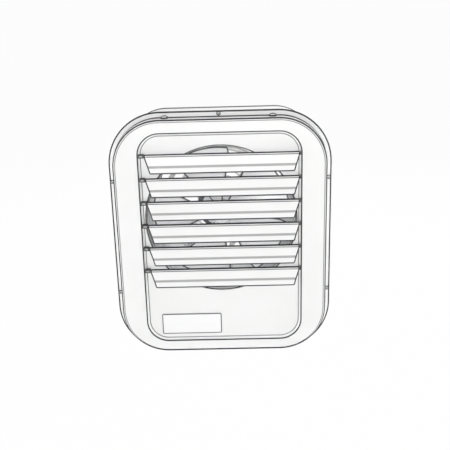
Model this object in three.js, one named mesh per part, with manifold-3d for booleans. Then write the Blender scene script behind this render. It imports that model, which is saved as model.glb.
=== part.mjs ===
// Ceiling mounted fan heater, built from pressed sheet, louvres, fan, motor and heating elements.
// Millimetres, +Z up, front towards -Y. The origin is the middle of the flat top of the rear case,
// where the ceiling hanger is fastened.

import * as THREE from 'three';
import { mergeVertices } from 'three/addons/utils/BufferGeometryUtils.js';
import Module from 'manifold-3d';

const wasm = await Module();
wasm.setup();

// ---------------------------------------------------------------- driving dimensions

// Casing sheet and the clearance between pieces that touch
const SHEET = 1.2;
const SEAT = 0.3;

// Front panel: a tub with an out-turned flange
const PANEL_WIDTH = 343.6;
const PANEL_HEIGHT = 402;
const PANEL_CORNER = 77;
const PANEL_EDGE = 3.5; // outside radius between the face and the side wall
const PANEL_DEPTH = 23; // from the face to the front of the flange
const FLANGE_WIDTH = 9.2;

// Shallow recess in the face, with a concave radius down to its floor
const RECESS_SIDE = 41.8; // face left between the side of the panel and the recess
const RECESS_END = 21; // face left above and below the recess
const RECESS_CORNER = 35;
const RECESS_DEPTH = 4.5;

// Discharge opening in the recess floor, on the fan's axis
const ORIFICE_SIDE = 0.3; // flat floor left between its mouth and the recess's radius at each side
const ORIFICE_TOP = 20.2; // from its mouth up to the recess's edge
const ORIFICE_EDGE = 2.2;
const ORIFICE_LIP = 12; // how far its collar reaches behind the floor

// Louvres
const LOUVRE_COUNT = 6;
const LOUVRE_PITCH = 39;
const LOUVRE_DROP = 35.8; // from the recess's upper edge down to the highest pivot
const LOUVRE_LEFT_GAP = 10; // from the recess's edge to the end of the blade, beside the long bush
const LOUVRE_RIGHT_GAP = 2.5;
const LOUVRE_PIVOT_DEPTH = -0.6; // pivot line, measured back from the panel's face
const LOUVRE_SHEET = 0.9;
const LOUVRE_ROD = 1.6; // radius
const LOUVRE_UPPER = 17.2; // from the pivot line to the crease
const LOUVRE_LOWER = 9.5; // from the crease to the lower edge
const LOUVRE_TILT = 8; // degrees that the upper part leans out
const LOUVRE_CREASE = 18; // degrees that the lower part leans out further
const LOUVRE_CREASE_RADIUS = 4;
const LOUVRE_END_INSET = 8.6; // how much shorter the lower edge is at each end
const LOUVRE_END_RADIUS = 2;

// Louvre bushes
const BUSH_HEIGHT = 5.8;
const BUSH_FRONT = 3.2; // from the pivot line to the front of the bush
const BUSH_RIGHT_THICK = 1.3;
const BUSH_LEFT_GAP = 1.1; // from the recess's edge to the end of the long bush
const BUSH_END_WALL = 1.5; // closed end of the long bush, past the rod

// Nameplate on the recess floor
const PLATE_WIDTH = 101.5;
const PLATE_HEIGHT = 37;
const PLATE_THICK = 0.8;
const PLATE_CORNER = 2.5;
const PLATE_LEFT = 24.25; // from the recess's left edge
const PLATE_RISE = 10.6; // above the recess's lower edge

// Rear case: a tub behind the front panel
const CASE_INSET = 6.3; // how far its wall stands inside the panel's wall
const CASE_BACK = 165; // depth of its back face behind the panel's face
const CASE_EDGE = 4;
const INTAKE_LIP = 7.5; // how far the back reaches inside the drum's wall

// Flange screws, heads towards the front
const SCREW_HEAD = 3.5; // radius
const SCREW_HEAD_HEIGHT = 2.4;
const SCREW_SHANK = 1.8;
const SCREW_LENGTH = 9;
const SCREW_SIDE_INSET = 26.4; // from where the panel's corner starts

// Round-headed bolts on the panel's top wall
const TOP_BOLT_INSET = 9.3; // from where the panel's corner starts
const TOP_BOLT_SETBACK = 9.8; // in front of the flange
const TOP_BOLT_HEAD = 6.2;
const TOP_BOLT_HEAD_HEIGHT = 4.6;
const TOP_BOLT_SHANK = 3;
const TOP_BOLT_LENGTH = 10;

// Hanger inserts in the top of the rear case
const HANGER_INSET = 19.8; // from where the case's corner starts
const HANGER_BORE = 4;
const HANGER_RADIUS = 6.5;
const HANGER_FLANGE = 9;
const HANGER_LENGTH = 14;

// Air drum round the fan and the elements
const DRUM_GAP = 1; // between the drum and the collar of the opening round it
const DRUM_SHEET = 1;
const DRUM_FRONT = 13;
const DRUM_FLANGE = 8;

// Fan
const FAN_TIP_GAP = 6; // from the blades' tips to the drum
const FAN_BLADES = 5;
const FAN_BLADE_SPAN = 56; // degrees
const FAN_BLADE_SHEET = 1.4;
const FAN_MIDDLE = 46; // depth of the middle of the blades
const FAN_PITCH_ROOT = 20;
const FAN_PITCH_TIP = 26;
const FAN_FIRST_BLADE = 107.5; // degrees, the middle of the uppermost blade
const FAN_CAMBER = 3; // of a blade's chord at its tip
const HUB_RADIUS = 19;
const HUB_EDGE = 3;
const HUB_LENGTH = 28;

// Motor
const SHAFT_RADIUS = 4;
const SHAFT_NOSE = 5; // how far the shaft stands in front of the hub
const SPIDER_GAP = 16; // from the back of the hub to the spider
const SPIDER_THICK = 3;
const SPIDER_RING = 34;
const SPIDER_BORE = 15;
const SPIDER_ARM_WIDTH = 5.5;
const SPIDER_FOOT_WIDTH = 16;
const SPIDER_FOOT_DEPTH = 12;
const MOTOR_RADIUS = 42;
const MOTOR_LENGTH = 62;
const MOTOR_WALL = 2;
const MOTOR_CAP = 6;
const MOTOR_CAP_EDGE = 3;
const MOTOR_BACK_EDGE = 4;
const MOTOR_SHOULDER = 1.5; // web of the end bell in front of its bearing
const MOTOR_SHAFT_GAP = 1.3; // round the shaft where it leaves the end bell
const BEARING_CUP_WALL = 3; // wall round the rear bearing
const BEARING_RADIUS = 11;
const BEARING_WIDTH = 7;
const STATOR_BORE = 26;
const STATOR_LENGTH = 30;
const ROTOR_GAP = 0.7; // air gap between rotor and stator

// Heating elements
const ELEMENT_RADIUS = 4;
const ELEMENT_COUNT = 2;
const ELEMENT_DRUM_GAP = 21.5; // from the drum to the middle of the outer ring's tube
const ELEMENT_RING_STEP = 22; // from one ring's radius to the next
const ELEMENT_SETBACK = 22; // from the front of the spider to the first ring
const ELEMENT_PITCH = 20; // from one ring's depth to the next
const ELEMENT_LEG = 13; // half the distance between the two legs
const ELEMENT_TAIL = 17.5; // how far the legs reach out below the drum
const ELEMENT_STRAIGHT = 8; // straight stretch at the end of each leg
const ELEMENT_NECK = 14; // from the ring down to the straight leg
const ELEMENT_MOUTH = 24.7; // half the gap in the ring above the legs
const ELEMENT_HOLE = 4.7;

// Thermal cut-out on the lower right arm of the spider
const CUTOUT_RADIUS = 9;
const CUTOUT_HEIGHT = 7;
const CUTOUT_BUTTON = 3.6;
const CUTOUT_BUTTON_HEIGHT = 2.2;
const CUTOUT_DISTANCE = 36; // from the fan's axis
const CUTOUT_ARM = 1; // which arm, counted clockwise from the top one
const CUTOUT_STRIP_LENGTH = 34;
const CUTOUT_STRIP_WIDTH = 12;
const CUTOUT_STRIP_THICK = 1;
const CUTOUT_STRIP_CORNER = 5.4;
const CUTOUT_EDGE = 1;

// Wiring compartment under the drum
const TERMINAL_WIDTH = 64;
const TERMINAL_DEPTH = 24;
const TERMINAL_HEIGHT = 16;
const TERMINAL_WAY_WIDTH = 9;
const TERMINAL_WAY_DEPTH = 7;
const TERMINAL_WAY_SINK = 4; // how far the ways reach down into the block
const TERMINAL_WAY_PITCH = 20; // across the heater
const TERMINAL_ROW_PITCH = 14; // from the front row to the back row
const LEAD_RADIUS = 1.4;
const LEAD_STRAIGHT = 12; // straight stretch at each end of a lead
const STUD_RADIUS = 2.5;
const STUD_HEIGHT = 14;
const STUD_X = 58;
const ENTRY_RADIUS = 11; // hole for the supply cable in the back
const ENTRY_SIDE = 70.5; // from the left side of the case
const ENTRY_RISE = 44.7; // above the bottom of the case
const ENTRY_BUSH_BORE = 7;
const ENTRY_BUSH_RIM = 14;
const ENTRY_BUSH_RIM_THICK = 4;
const ENTRY_BUSH_SLEEVE = 6; // how far its sleeve stands inside the back

// Intake guard on the back
const GUARD_RING_COUNT = 3;
const GUARD_RING_PITCH = 25;
const GUARD_LAP = 6; // from the edge of the intake to the middle of the rim
const GUARD_RIM_WIDTH = 5;
const GUARD_WIRE = 2.6;
const GUARD_RIM_THICK = 2;
const GUARD_SPOKES = 8;
const GUARD_DISC = 20; // radius of the closed disc in the middle

// Roundness of the facets
const CORNER_STEPS = 7;
const CIRCLE_STEPS = 44;
const GUARD_STEPS = 36;
const MOTOR_STEPS = 28;
const SMALL_STEPS = 12;
const EDGE_STEPS = 3;
const HEM_STEPS = 12;
const RING_STEPS = 18; // points round an element's ring
const TUBE_STEPS = 44; // sections along an element
const LEAD_STEPS = 12;
const BLADE_STEPS = 6; // from the root of a fan blade to its tip
const CHORD_STEPS = 5;

// Joined solids run this far into each other, and tools run this far past what they cut
const OVERLAP = 2;

// ---------------------------------------------------------------- worked-out places

const DEG = Math.PI / 180;
const cornerX = PANEL_WIDTH / 2 - PANEL_CORNER;
const cornerZ = PANEL_HEIGHT / 2 - PANEL_CORNER;
const recessRight = PANEL_WIDTH / 2 - RECESS_SIDE;
const recessTop = PANEL_HEIGHT / 2 - RECESS_END;
const recessFlatRight = recessRight - RECESS_DEPTH; // where the floor starts to curve up
const mouthRadius = recessFlatRight - ORIFICE_SIDE;
const orificeRadius = mouthRadius - ORIFICE_EDGE;
const axisHeight = recessTop - ORIFICE_TOP - mouthRadius; // of the fan's axis
const flangeOuter = PANEL_CORNER + FLANGE_WIDTH;
const caseRadius = PANEL_CORNER - CASE_INSET;
const caseHalfWidth = cornerX + caseRadius;
const caseHalfHeight = cornerZ + caseRadius;
const caseFlangeFront = PANEL_DEPTH + SHEET + SEAT;
const caseInnerBack = CASE_BACK - SHEET;
const floorFront = RECESS_DEPTH;
const floorBack = floorFront + SHEET;
const drumRadius = orificeRadius - DRUM_GAP;
const drumBack = caseInnerBack - SEAT;
const drumInner = drumRadius - DRUM_SHEET;
const intakeRadius = drumRadius - INTAKE_LIP;
const guardRim = intakeRadius + GUARD_LAP;
const hemInner = LOUVRE_ROD + SEAT;
const hemOuter = hemInner + LOUVRE_SHEET;
const louvreLeft = -recessRight + LOUVRE_LEFT_GAP;
const louvreRight = recessRight - LOUVRE_RIGHT_GAP;
const hubFront = FAN_MIDDLE - HUB_LENGTH / 2;
const hubBack = FAN_MIDDLE + HUB_LENGTH / 2;
const fanRadius = drumInner - FAN_TIP_GAP;
const spiderFront = hubBack + SPIDER_GAP;
const elements = Array.from({ length: ELEMENT_COUNT }, (_, i) => ({
  ring: drumInner - ELEMENT_DRUM_GAP - i * ELEMENT_RING_STEP,
  depth: spiderFront + ELEMENT_SETBACK + i * ELEMENT_PITCH,
}));
const elementEnd = drumRadius + ELEMENT_TAIL; // how far below the axis the legs end
const terminalMiddle = (elements[0].depth + elements.at(-1).depth) / 2;
const motorFront = spiderFront + SPIDER_THICK + SEAT;
const motorBack = motorFront + MOTOR_LENGTH;
const compartmentFloor = -caseHalfHeight + SHEET;
const mountDepth = (caseFlangeFront + CASE_BACK) / 2;

// ---------------------------------------------------------------- finishes

const white = new THREE.MeshStandardMaterial({ color: 0xf1f1ee, roughness: 0.45, metalness: 0.1 });
const steel = new THREE.MeshStandardMaterial({ color: 0xb9bcbe, roughness: 0.35, metalness: 0.9 });
const nylon = new THREE.MeshStandardMaterial({ color: 0xb4b4b2, roughness: 0.6, metalness: 0 });
const labelFoil = new THREE.MeshStandardMaterial({ color: 0xf6f6f4, roughness: 0.4, metalness: 0.2 });
const alloy = new THREE.MeshStandardMaterial({ color: 0xd3d5d6, roughness: 0.4, metalness: 0.8 });
const galvanised = new THREE.MeshStandardMaterial({ color: 0xc3c7c9, roughness: 0.5, metalness: 0.7 });
const motorPaint = new THREE.MeshStandardMaterial({ color: 0x55585b, roughness: 0.5, metalness: 0.3 });
const sheath = new THREE.MeshStandardMaterial({ color: 0x6e6a66, roughness: 0.5, metalness: 0.8 });
const moulding = new THREE.MeshStandardMaterial({ color: 0x26282a, roughness: 0.55, metalness: 0 });
const leadSleeve = new THREE.MeshStandardMaterial({ color: 0xc9c4b8, roughness: 0.6, metalness: 0 });
const brass = new THREE.MeshStandardMaterial({ color: 0xb99a55, roughness: 0.35, metalness: 0.9 });

// ---------------------------------------------------------------- solids and cuts

function toSolid(geometry) {
  const bare = geometry.clone();
  for (const name of Object.keys(bare.attributes)) {
    if (name !== 'position') bare.deleteAttribute(name);
  }
  const merged = mergeVertices(bare, 1e-4);
  return new wasm.Manifold(new wasm.Mesh({
    numProp: 3,
    vertProperties: new Float32Array(merged.attributes.position.array),
    triVerts: new Uint32Array(merged.index.array),
  }));
}

function toGeometry(solid) {
  const mesh = solid.getMesh();
  const geometry = new THREE.BufferGeometry();
  geometry.setAttribute('position', new THREE.BufferAttribute(new Float32Array(mesh.vertProperties), 3));
  geometry.setIndex(new THREE.BufferAttribute(new Uint32Array(mesh.triVerts), 1));
  geometry.computeVertexNormals();
  return geometry;
}

function join(...geometries) {
  return toGeometry(geometries.map(toSolid).reduce((whole, next) => whole.add(next)));
}

function cut(geometry, ...tools) {
  return toGeometry(tools.map(toSolid).reduce((rest, tool) => rest.subtract(tool), toSolid(geometry)));
}

function common(first, second) {
  return toGeometry(toSolid(first).intersect(toSolid(second)));
}

// An outline in the XZ plane made solid from depth y0 back to depth y1.
function plate(shape, y0, y1, curveSegments = CIRCLE_STEPS) {
  const geometry = new THREE.ExtrudeGeometry(shape, { depth: y1 - y0, bevelEnabled: false, curveSegments });
  return geometry.rotateX(Math.PI / 2).translate(0, y1, 0);
}

// An outline in the YZ plane made solid from x0 to x1.
function bar(shape, x0, x1, curveSegments = EDGE_STEPS) {
  const geometry = new THREE.ExtrudeGeometry(shape, { depth: x1 - x0, bevelEnabled: false, curveSegments });
  const turn = new THREE.Matrix4().makeBasis(
    new THREE.Vector3(0, 1, 0), new THREE.Vector3(0, 0, 1), new THREE.Vector3(1, 0, 0));
  return geometry.applyMatrix4(turn).translate(x0, 0, 0);
}

function box(width, depth, height, x, y, z) {
  return new THREE.BoxGeometry(width, depth, height).translate(x, y, z);
}

// A cylinder along Y from depth y0 to depth y1.
function drumSolid(radius, y0, y1, steps = CIRCLE_STEPS) {
  return new THREE.CylinderGeometry(radius, radius, y1 - y0, steps).translate(0, (y0 + y1) / 2, 0);
}

// A profile of [radius, depth] points turned round the Y axis; its last point meets its first.
function turned(points, steps = CIRCLE_STEPS) {
  const closed = [...points, points[0]].map(([radius, depth]) => new THREE.Vector2(radius, depth));
  return outward(new THREE.LatheGeometry(closed, steps));
}

// Points of an arc from one angle to another, in degrees, about a centre.
function arc(centreA, centreB, radius, from, to, steps = EDGE_STEPS) {
  return Array.from({ length: steps + 1 }, (_, i) => {
    const angle = (from + (to - from) * i / steps) * DEG;
    return [centreA + radius * Math.cos(angle), centreB + radius * Math.sin(angle)];
  });
}

function volumeOf(geometry) {
  const position = geometry.attributes.position;
  const index = geometry.index;
  const [a, b, c] = [new THREE.Vector3(), new THREE.Vector3(), new THREE.Vector3()];
  let total = 0;
  for (let i = 0; i < index.count; i += 3) {
    a.fromBufferAttribute(position, index.getX(i));
    b.fromBufferAttribute(position, index.getX(i + 1));
    c.fromBufferAttribute(position, index.getX(i + 2));
    total += a.dot(b.cross(c)) / 6;
  }
  return total;
}

// The same solid with its faces pointing out.
function outward(geometry) {
  if (volumeOf(geometry) >= 0) return geometry;
  const index = geometry.index;
  for (let i = 0; i < index.count; i += 3) {
    const first = index.getX(i);
    index.setX(i, index.getX(i + 2));
    index.setX(i + 2, first);
  }
  geometry.computeVertexNormals();
  return geometry;
}

// Rings of points joined into a skin: each ring closes on itself, and the last ring meets the first
// or, with caps, both ends are closed by fans.
function skin(rings, { caps = false } = {}) {
  const around = rings[0].length;
  const vertices = rings.flat().flat();
  const triangles = [];
  const lastRing = caps ? rings.length - 1 : rings.length;
  for (let i = 0; i < lastRing; i += 1) {
    const next = (i + 1) % rings.length;
    for (let j = 0; j < around; j += 1) {
      const k = (j + 1) % around;
      const [a, b, c, d] = [i * around + j, i * around + k, next * around + k, next * around + j];
      triangles.push(a, b, c, a, c, d);
    }
  }
  if (caps) {
    const top = (rings.length - 1) * around;
    for (let j = 1; j < around - 1; j += 1) {
      triangles.push(0, j + 1, j, top, top + j, top + j + 1);
    }
  }
  const geometry = new THREE.BufferGeometry();
  geometry.setAttribute('position', new THREE.Float32BufferAttribute(vertices, 3));
  geometry.setIndex(triangles);
  geometry.computeVertexNormals();
  return outward(geometry);
}

// A closed profile of [radius, depth] points carried round a rounded rectangle, whose corner arcs are
// centred at plus and minus halfX and halfZ.
function pressedRing(profile, halfX, halfZ) {
  const corners = [[1, 1, 0], [-1, 1, 90], [-1, -1, 180], [1, -1, 270]];
  const rings = [];
  for (const [sideX, sideZ, start] of corners) {
    for (let i = 0; i <= CORNER_STEPS; i += 1) {
      const angle = (start + 90 * i / CORNER_STEPS) * DEG;
      rings.push(profile.map(([radius, depth]) => [
        sideX * halfX + radius * Math.cos(angle), depth, sideZ * halfZ + radius * Math.sin(angle)]));
    }
  }
  return skin(rings);
}

function roundedRectangle(width, height, radius, x = 0, z = 0) {
  const [left, right, low, high] = [x - width / 2, x + width / 2, z - height / 2, z + height / 2];
  return new THREE.Shape()
    .moveTo(left + radius, low).lineTo(right - radius, low)
    .absarc(right - radius, low + radius, radius, -Math.PI / 2, 0)
    .lineTo(right, high - radius)
    .absarc(right - radius, high - radius, radius, 0, Math.PI / 2)
    .lineTo(left + radius, high)
    .absarc(left + radius, high - radius, radius, Math.PI / 2, Math.PI)
    .lineTo(left, low + radius)
    .absarc(left + radius, low + radius, radius, Math.PI, Math.PI * 1.5);
}

function polygon(points) {
  return new THREE.Shape(points.map(([a, b]) => new THREE.Vector2(a, b)));
}

// ---------------------------------------------------------------- the assembly

const heater = new THREE.Group();
const assembly = new THREE.Group();
assembly.position.set(0, -mountDepth, -caseHalfHeight);
heater.add(assembly);

const fanAxis = new THREE.Group(); // everything centred on the fan
fanAxis.position.z = axisHeight;
assembly.add(fanAxis);

function piece(name, geometry, material, parent = assembly) {
  const mesh = new THREE.Mesh(geometry, material);
  mesh.name = name;
  parent.add(mesh);
  return mesh;
}

// ---------------------------------------------------------------- screws and bolts

// Six places round the middle line of the flange.
const flangeMiddle = FLANGE_WIDTH / 2;
const screwPlaces = [
  ['top', 0, PANEL_HEIGHT / 2 + flangeMiddle],
  ['bottom', 0, -PANEL_HEIGHT / 2 - flangeMiddle],
  ...['left', 'right'].flatMap((side) => ['upper', 'lower'].map((level) => [
    `${side}_${level}`,
    (side === 'left' ? -1 : 1) * (PANEL_WIDTH / 2 + flangeMiddle),
    (level === 'upper' ? 1 : -1) * (cornerZ - SCREW_SIDE_INSET)])),
];

// A round-headed screw along Y with its head towards -Y and the underside of the head at depth 0.
// The head has a flat crown, a shoulder and a short upright rim.
function screwGeometry(head, headHeight, shank, length) {
  const [crown, shoulder] = [head * 0.62, head * 0.92];
  const [shoulderHeight, rimHeight] = [headHeight * 0.65, headHeight * 0.2];
  return turned([
    [0, -headHeight], [crown, -headHeight], [shoulder, -shoulderHeight],
    [head, -rimHeight], [head, 0], [shank, 0], [shank, length], [0, length],
  ], SMALL_STEPS);
}

for (const [place, x, z] of screwPlaces) {
  const geometry = screwGeometry(SCREW_HEAD, SCREW_HEAD_HEIGHT, SCREW_SHANK, SCREW_LENGTH);
  piece(`flange_screw_${place}`, geometry, steel).position.set(x, PANEL_DEPTH - SEAT, z);
}

const topBoltX = cornerX - TOP_BOLT_INSET;
const topBoltDepth = PANEL_DEPTH - TOP_BOLT_SETBACK;
const topBoltPlaces = [['left', -topBoltX], ['right', topBoltX]];
for (const [side, x] of topBoltPlaces) {
  const geometry = screwGeometry(TOP_BOLT_HEAD, TOP_BOLT_HEAD_HEIGHT, TOP_BOLT_SHANK, TOP_BOLT_LENGTH);
  const bolt = piece(`top_bolt_${side}`, geometry, steel);
  bolt.rotation.x = -Math.PI / 2;
  bolt.position.set(x, topBoltDepth, PANEL_HEIGHT / 2 + SEAT);
}

// ---------------------------------------------------------------- front panel

// The tool for a round hole down through a top wall whose upper face is at height 0.
function topHole(radius) {
  return new THREE.CylinderGeometry(radius, radius, 2 * (SHEET + OVERLAP), SMALL_STEPS).rotateX(Math.PI / 2);
}

// Holes for the flange screws in a sheet whose front is at the given depth.
function screwHoles(front) {
  return screwPlaces.map(([, x, z]) =>
    drumSolid(SCREW_SHANK + SEAT, front - OVERLAP, front + SHEET + OVERLAP, SMALL_STEPS).translate(x, 0, z));
}

function frontPanel() {
  const innerWall = PANEL_CORNER - SHEET;
  const faceOverlap = PANEL_CORNER - PANEL_EDGE - OVERLAP;
  const tub = pressedRing([
    [flangeOuter, PANEL_DEPTH], [flangeOuter, PANEL_DEPTH + SHEET], [innerWall, PANEL_DEPTH + SHEET],
    ...arc(PANEL_CORNER - PANEL_EDGE, PANEL_EDGE, PANEL_EDGE - SHEET, 0, -90),
    [faceOverlap, SHEET], [faceOverlap, 0],
    ...arc(PANEL_CORNER - PANEL_EDGE, PANEL_EDGE, PANEL_EDGE, -90, 0),
    [PANEL_CORNER, PANEL_DEPTH],
  ], cornerX, cornerZ);

  const faceRadius = faceOverlap + OVERLAP / 2;
  const face = roundedRectangle(2 * (cornerX + faceRadius), 2 * (cornerZ + faceRadius), faceRadius);
  face.holes.push(roundedRectangle(2 * recessRight, 2 * recessTop, RECESS_CORNER));

  const recessX = recessRight - RECESS_CORNER;
  const recessZ = recessTop - RECESS_CORNER;
  const floorRadius = RECESS_CORNER - RECESS_DEPTH;
  const floorOverlap = floorRadius - OVERLAP * 2;
  const rim = pressedRing([
    ...arc(floorRadius, 0, RECESS_DEPTH, 0, 90),
    [floorOverlap, floorFront], [floorOverlap, floorBack],
    ...arc(floorRadius, 0, RECESS_DEPTH + SHEET, 90, 0),
  ], recessX, recessZ);
  const floorPlate = floorOverlap + OVERLAP;
  const floor = roundedRectangle(2 * (recessX + floorPlate), 2 * (recessZ + floorPlate), floorPlate);

  const collarBack = floorBack + ORIFICE_LIP;
  const collar = turned([
    [mouthRadius + SEAT, floorFront],
    ...arc(mouthRadius, floorFront + ORIFICE_EDGE, ORIFICE_EDGE, -90, -180),
    [orificeRadius, collarBack], [orificeRadius + SHEET, collarBack],
    ...arc(mouthRadius, floorFront + ORIFICE_EDGE, ORIFICE_EDGE - SHEET, -180, -90),
    [mouthRadius + SEAT, floorBack],
  ]).translate(0, 0, axisHeight);

  const closed = join(
    tub, plate(face, 0, SHEET, CORNER_STEPS), rim, plate(floor, floorFront, floorBack, CORNER_STEPS));
  const throat = drumSolid(mouthRadius, floorFront - OVERLAP, floorBack + OVERLAP).translate(0, 0, axisHeight);
  const boltHoles = topBoltPlaces.map(([, x]) =>
    topHole(TOP_BOLT_SHANK + SEAT).translate(x, topBoltDepth, PANEL_HEIGHT / 2));
  return cut(join(cut(closed, throat), collar), ...screwHoles(PANEL_DEPTH), ...boltHoles);
}

piece('front_panel', frontPanel(), white);

const plateX = -recessRight + PLATE_LEFT + PLATE_WIDTH / 2;
const plateZ = -recessTop + PLATE_RISE + PLATE_HEIGHT / 2;
const nameplate = roundedRectangle(PLATE_WIDTH, PLATE_HEIGHT, PLATE_CORNER);
piece('nameplate', plate(nameplate, 0, PLATE_THICK, EDGE_STEPS), labelFoil)
  .position.set(plateX, floorFront - SEAT - PLATE_THICK, plateZ);

// ---------------------------------------------------------------- louvres

// The blade's section about its pivot, in the rest position: first number back, second up.
function bladeSection() {
  const rollEnd = -110; // degrees, where the roll stops round the rod
  const creaseX = -hemOuter - LOUVRE_CREASE_RADIUS;
  const outerBend = arc(creaseX, -LOUVRE_UPPER, LOUVRE_CREASE_RADIUS, 0, -LOUVRE_CREASE);
  const innerBend = arc(creaseX, -LOUVRE_UPPER, LOUVRE_CREASE_RADIUS + LOUVRE_SHEET, 0, -LOUVRE_CREASE);
  const lip = ([back, up]) => [
    back - LOUVRE_LOWER * Math.sin(LOUVRE_CREASE * DEG), up - LOUVRE_LOWER * Math.cos(LOUVRE_CREASE * DEG)];
  const section = [
    lip(outerBend.at(-1)), ...outerBend.reverse(),
    ...arc(0, 0, hemOuter, 180, rollEnd, HEM_STEPS), ...arc(0, 0, hemInner, rollEnd, 180, HEM_STEPS),
    ...innerBend, lip(innerBend.at(-1)),
  ];
  const [sin, cos] = [Math.sin(LOUVRE_TILT * DEG), Math.cos(LOUVRE_TILT * DEG)];
  return section.map(([back, up]) => [back * cos + up * sin, up * cos - back * sin]);
}

// The blade seen from the front: square ends at the hem, sloping ends below it, round lower corners.
function bladeOutline(lowest) {
  const beyond = OVERLAP + hemOuter;
  const slopeStart = -hemOuter;
  const [lowLeft, lowRight] = [louvreLeft + LOUVRE_END_INSET, louvreRight - LOUVRE_END_INSET];
  const slope = LOUVRE_END_INSET / (slopeStart - lowest) * LOUVRE_END_RADIUS;
  return new THREE.Shape()
    .moveTo(louvreLeft, beyond).lineTo(louvreLeft, slopeStart)
    .lineTo(lowLeft - slope, lowest + LOUVRE_END_RADIUS)
    .quadraticCurveTo(lowLeft, lowest, lowLeft + LOUVRE_END_RADIUS, lowest)
    .lineTo(lowLeft + LOUVRE_END_RADIUS, lowest - beyond)
    .lineTo(lowRight - LOUVRE_END_RADIUS, lowest - beyond)
    .lineTo(lowRight - LOUVRE_END_RADIUS, lowest)
    .quadraticCurveTo(lowRight, lowest, lowRight + slope, lowest + LOUVRE_END_RADIUS)
    .lineTo(louvreRight, slopeStart).lineTo(louvreRight, beyond);
}

function louvreBlade() {
  const section = bladeSection();
  const lowest = Math.min(...section.map(([, up]) => up));
  const sheet = bar(polygon(section), louvreLeft - OVERLAP, louvreRight + OVERLAP);
  const reach = LOUVRE_UPPER + LOUVRE_LOWER + OVERLAP;
  return common(sheet, plate(bladeOutline(lowest), -reach, reach, EDGE_STEPS));
}

const bushLeftStart = -recessRight + BUSH_LEFT_GAP;
const rodLeft = bushLeftStart + BUSH_END_WALL;
const rodRight = louvreRight + SEAT + BUSH_RIGHT_THICK;

// How deep a foot may reach at a distance from the middle: the floor, then the facets of its radius,
// less the seat clearance.
function seatDepth(x) {
  const facetDepth = RECESS_DEPTH * Math.cos(45 / EDGE_STEPS * DEG);
  const run = Math.abs(x) - recessFlatRight;
  return Math.sqrt((facetDepth - SEAT) ** 2 - Math.max(run, 0) ** 2);
}

// A bush from x0 to x1 across the heater, its foot following the floor, with a bore for the rod that
// starts at boreStart and ends beyond x1.
function bush(x0, x1, boreStart) {
  const front = LOUVRE_PIVOT_DEPTH - BUSH_FRONT;
  const foot = Array.from({ length: EDGE_STEPS + 2 }, (_, i) => x1 + (x0 - x1) * i / (EDGE_STEPS + 1));
  const block = polygon([[x0, front], [x1, front], ...foot.map((x) => [x, seatDepth(x)])]);
  const solid = new THREE.ExtrudeGeometry(block, { depth: BUSH_HEIGHT, bevelEnabled: false })
    .translate(0, 0, -BUSH_HEIGHT / 2);
  const boreEnd = x1 + OVERLAP;
  const boreRadius = LOUVRE_ROD + SEAT;
  const bore = new THREE.CylinderGeometry(boreRadius, boreRadius, boreEnd - boreStart, SMALL_STEPS)
    .rotateZ(Math.PI / 2).translate((boreStart + boreEnd) / 2, LOUVRE_PIVOT_DEPTH, 0);
  return cut(solid, bore);
}

// The long bush closes over the end of the rod, and the thin one lets it through.
const longBush = () => bush(bushLeftStart, louvreLeft - SEAT, rodLeft - SEAT);
const thinBush = () => bush(louvreRight + SEAT, rodRight, louvreRight - OVERLAP);

for (let i = 0; i < LOUVRE_COUNT; i += 1) {
  const height = recessTop - LOUVRE_DROP - i * LOUVRE_PITCH;
  const number = i + 1;
  piece(`louvre_${number}`, louvreBlade(), white).position.set(0, LOUVRE_PIVOT_DEPTH, height);
  const rod = new THREE.CylinderGeometry(LOUVRE_ROD, LOUVRE_ROD, rodRight - rodLeft, SMALL_STEPS);
  piece(`louvre_rod_${number}`, rod.rotateZ(Math.PI / 2), steel)
    .position.set((rodLeft + rodRight) / 2, LOUVRE_PIVOT_DEPTH, height);
  piece(`louvre_bush_left_${number}`, longBush(), nylon).position.z = height;
  piece(`louvre_bush_right_${number}`, thinBush(), nylon).position.z = height;
}

// ---------------------------------------------------------------- rear case

const hangerX = cornerX - HANGER_INSET;
const hangerPlaces = [['left', -hangerX], ['right', hangerX]];
const [entryX, entryZ] = [-caseHalfWidth + ENTRY_SIDE, -caseHalfHeight + ENTRY_RISE];

function rearCase() {
  const innerWall = caseRadius - SHEET;
  const backRadius = caseRadius - CASE_EDGE;
  const overlap = backRadius - OVERLAP * 2;
  const tub = pressedRing([
    [flangeOuter, caseFlangeFront], [flangeOuter, caseFlangeFront + SHEET],
    [caseRadius, caseFlangeFront + SHEET],
    ...arc(backRadius, CASE_BACK - CASE_EDGE, CASE_EDGE, 0, 90),
    [overlap, CASE_BACK], [overlap, caseInnerBack],
    ...arc(backRadius, CASE_BACK - CASE_EDGE, CASE_EDGE - SHEET, 90, 0),
    [innerWall, caseFlangeFront],
  ], cornerX, cornerZ);
  const backPlate = overlap + OVERLAP;
  const backShape = roundedRectangle(2 * (cornerX + backPlate), 2 * (cornerZ + backPlate), backPlate);
  const backHole = (radius, steps) => drumSolid(radius, caseInnerBack - OVERLAP, CASE_BACK + OVERLAP, steps);
  const intake = backHole(intakeRadius, CIRCLE_STEPS).translate(0, 0, axisHeight);
  const entry = backHole(ENTRY_RADIUS, SMALL_STEPS).translate(entryX, 0, entryZ);
  const inserts = hangerPlaces.map(([, x]) =>
    topHole(HANGER_BORE + SEAT).translate(x, mountDepth, caseHalfHeight));
  const closed = join(tub, plate(backShape, caseInnerBack, CASE_BACK, CORNER_STEPS));
  return cut(closed, intake, entry, ...inserts, ...screwHoles(caseFlangeFront));
}

piece('rear_case', rearCase(), white);

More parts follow.
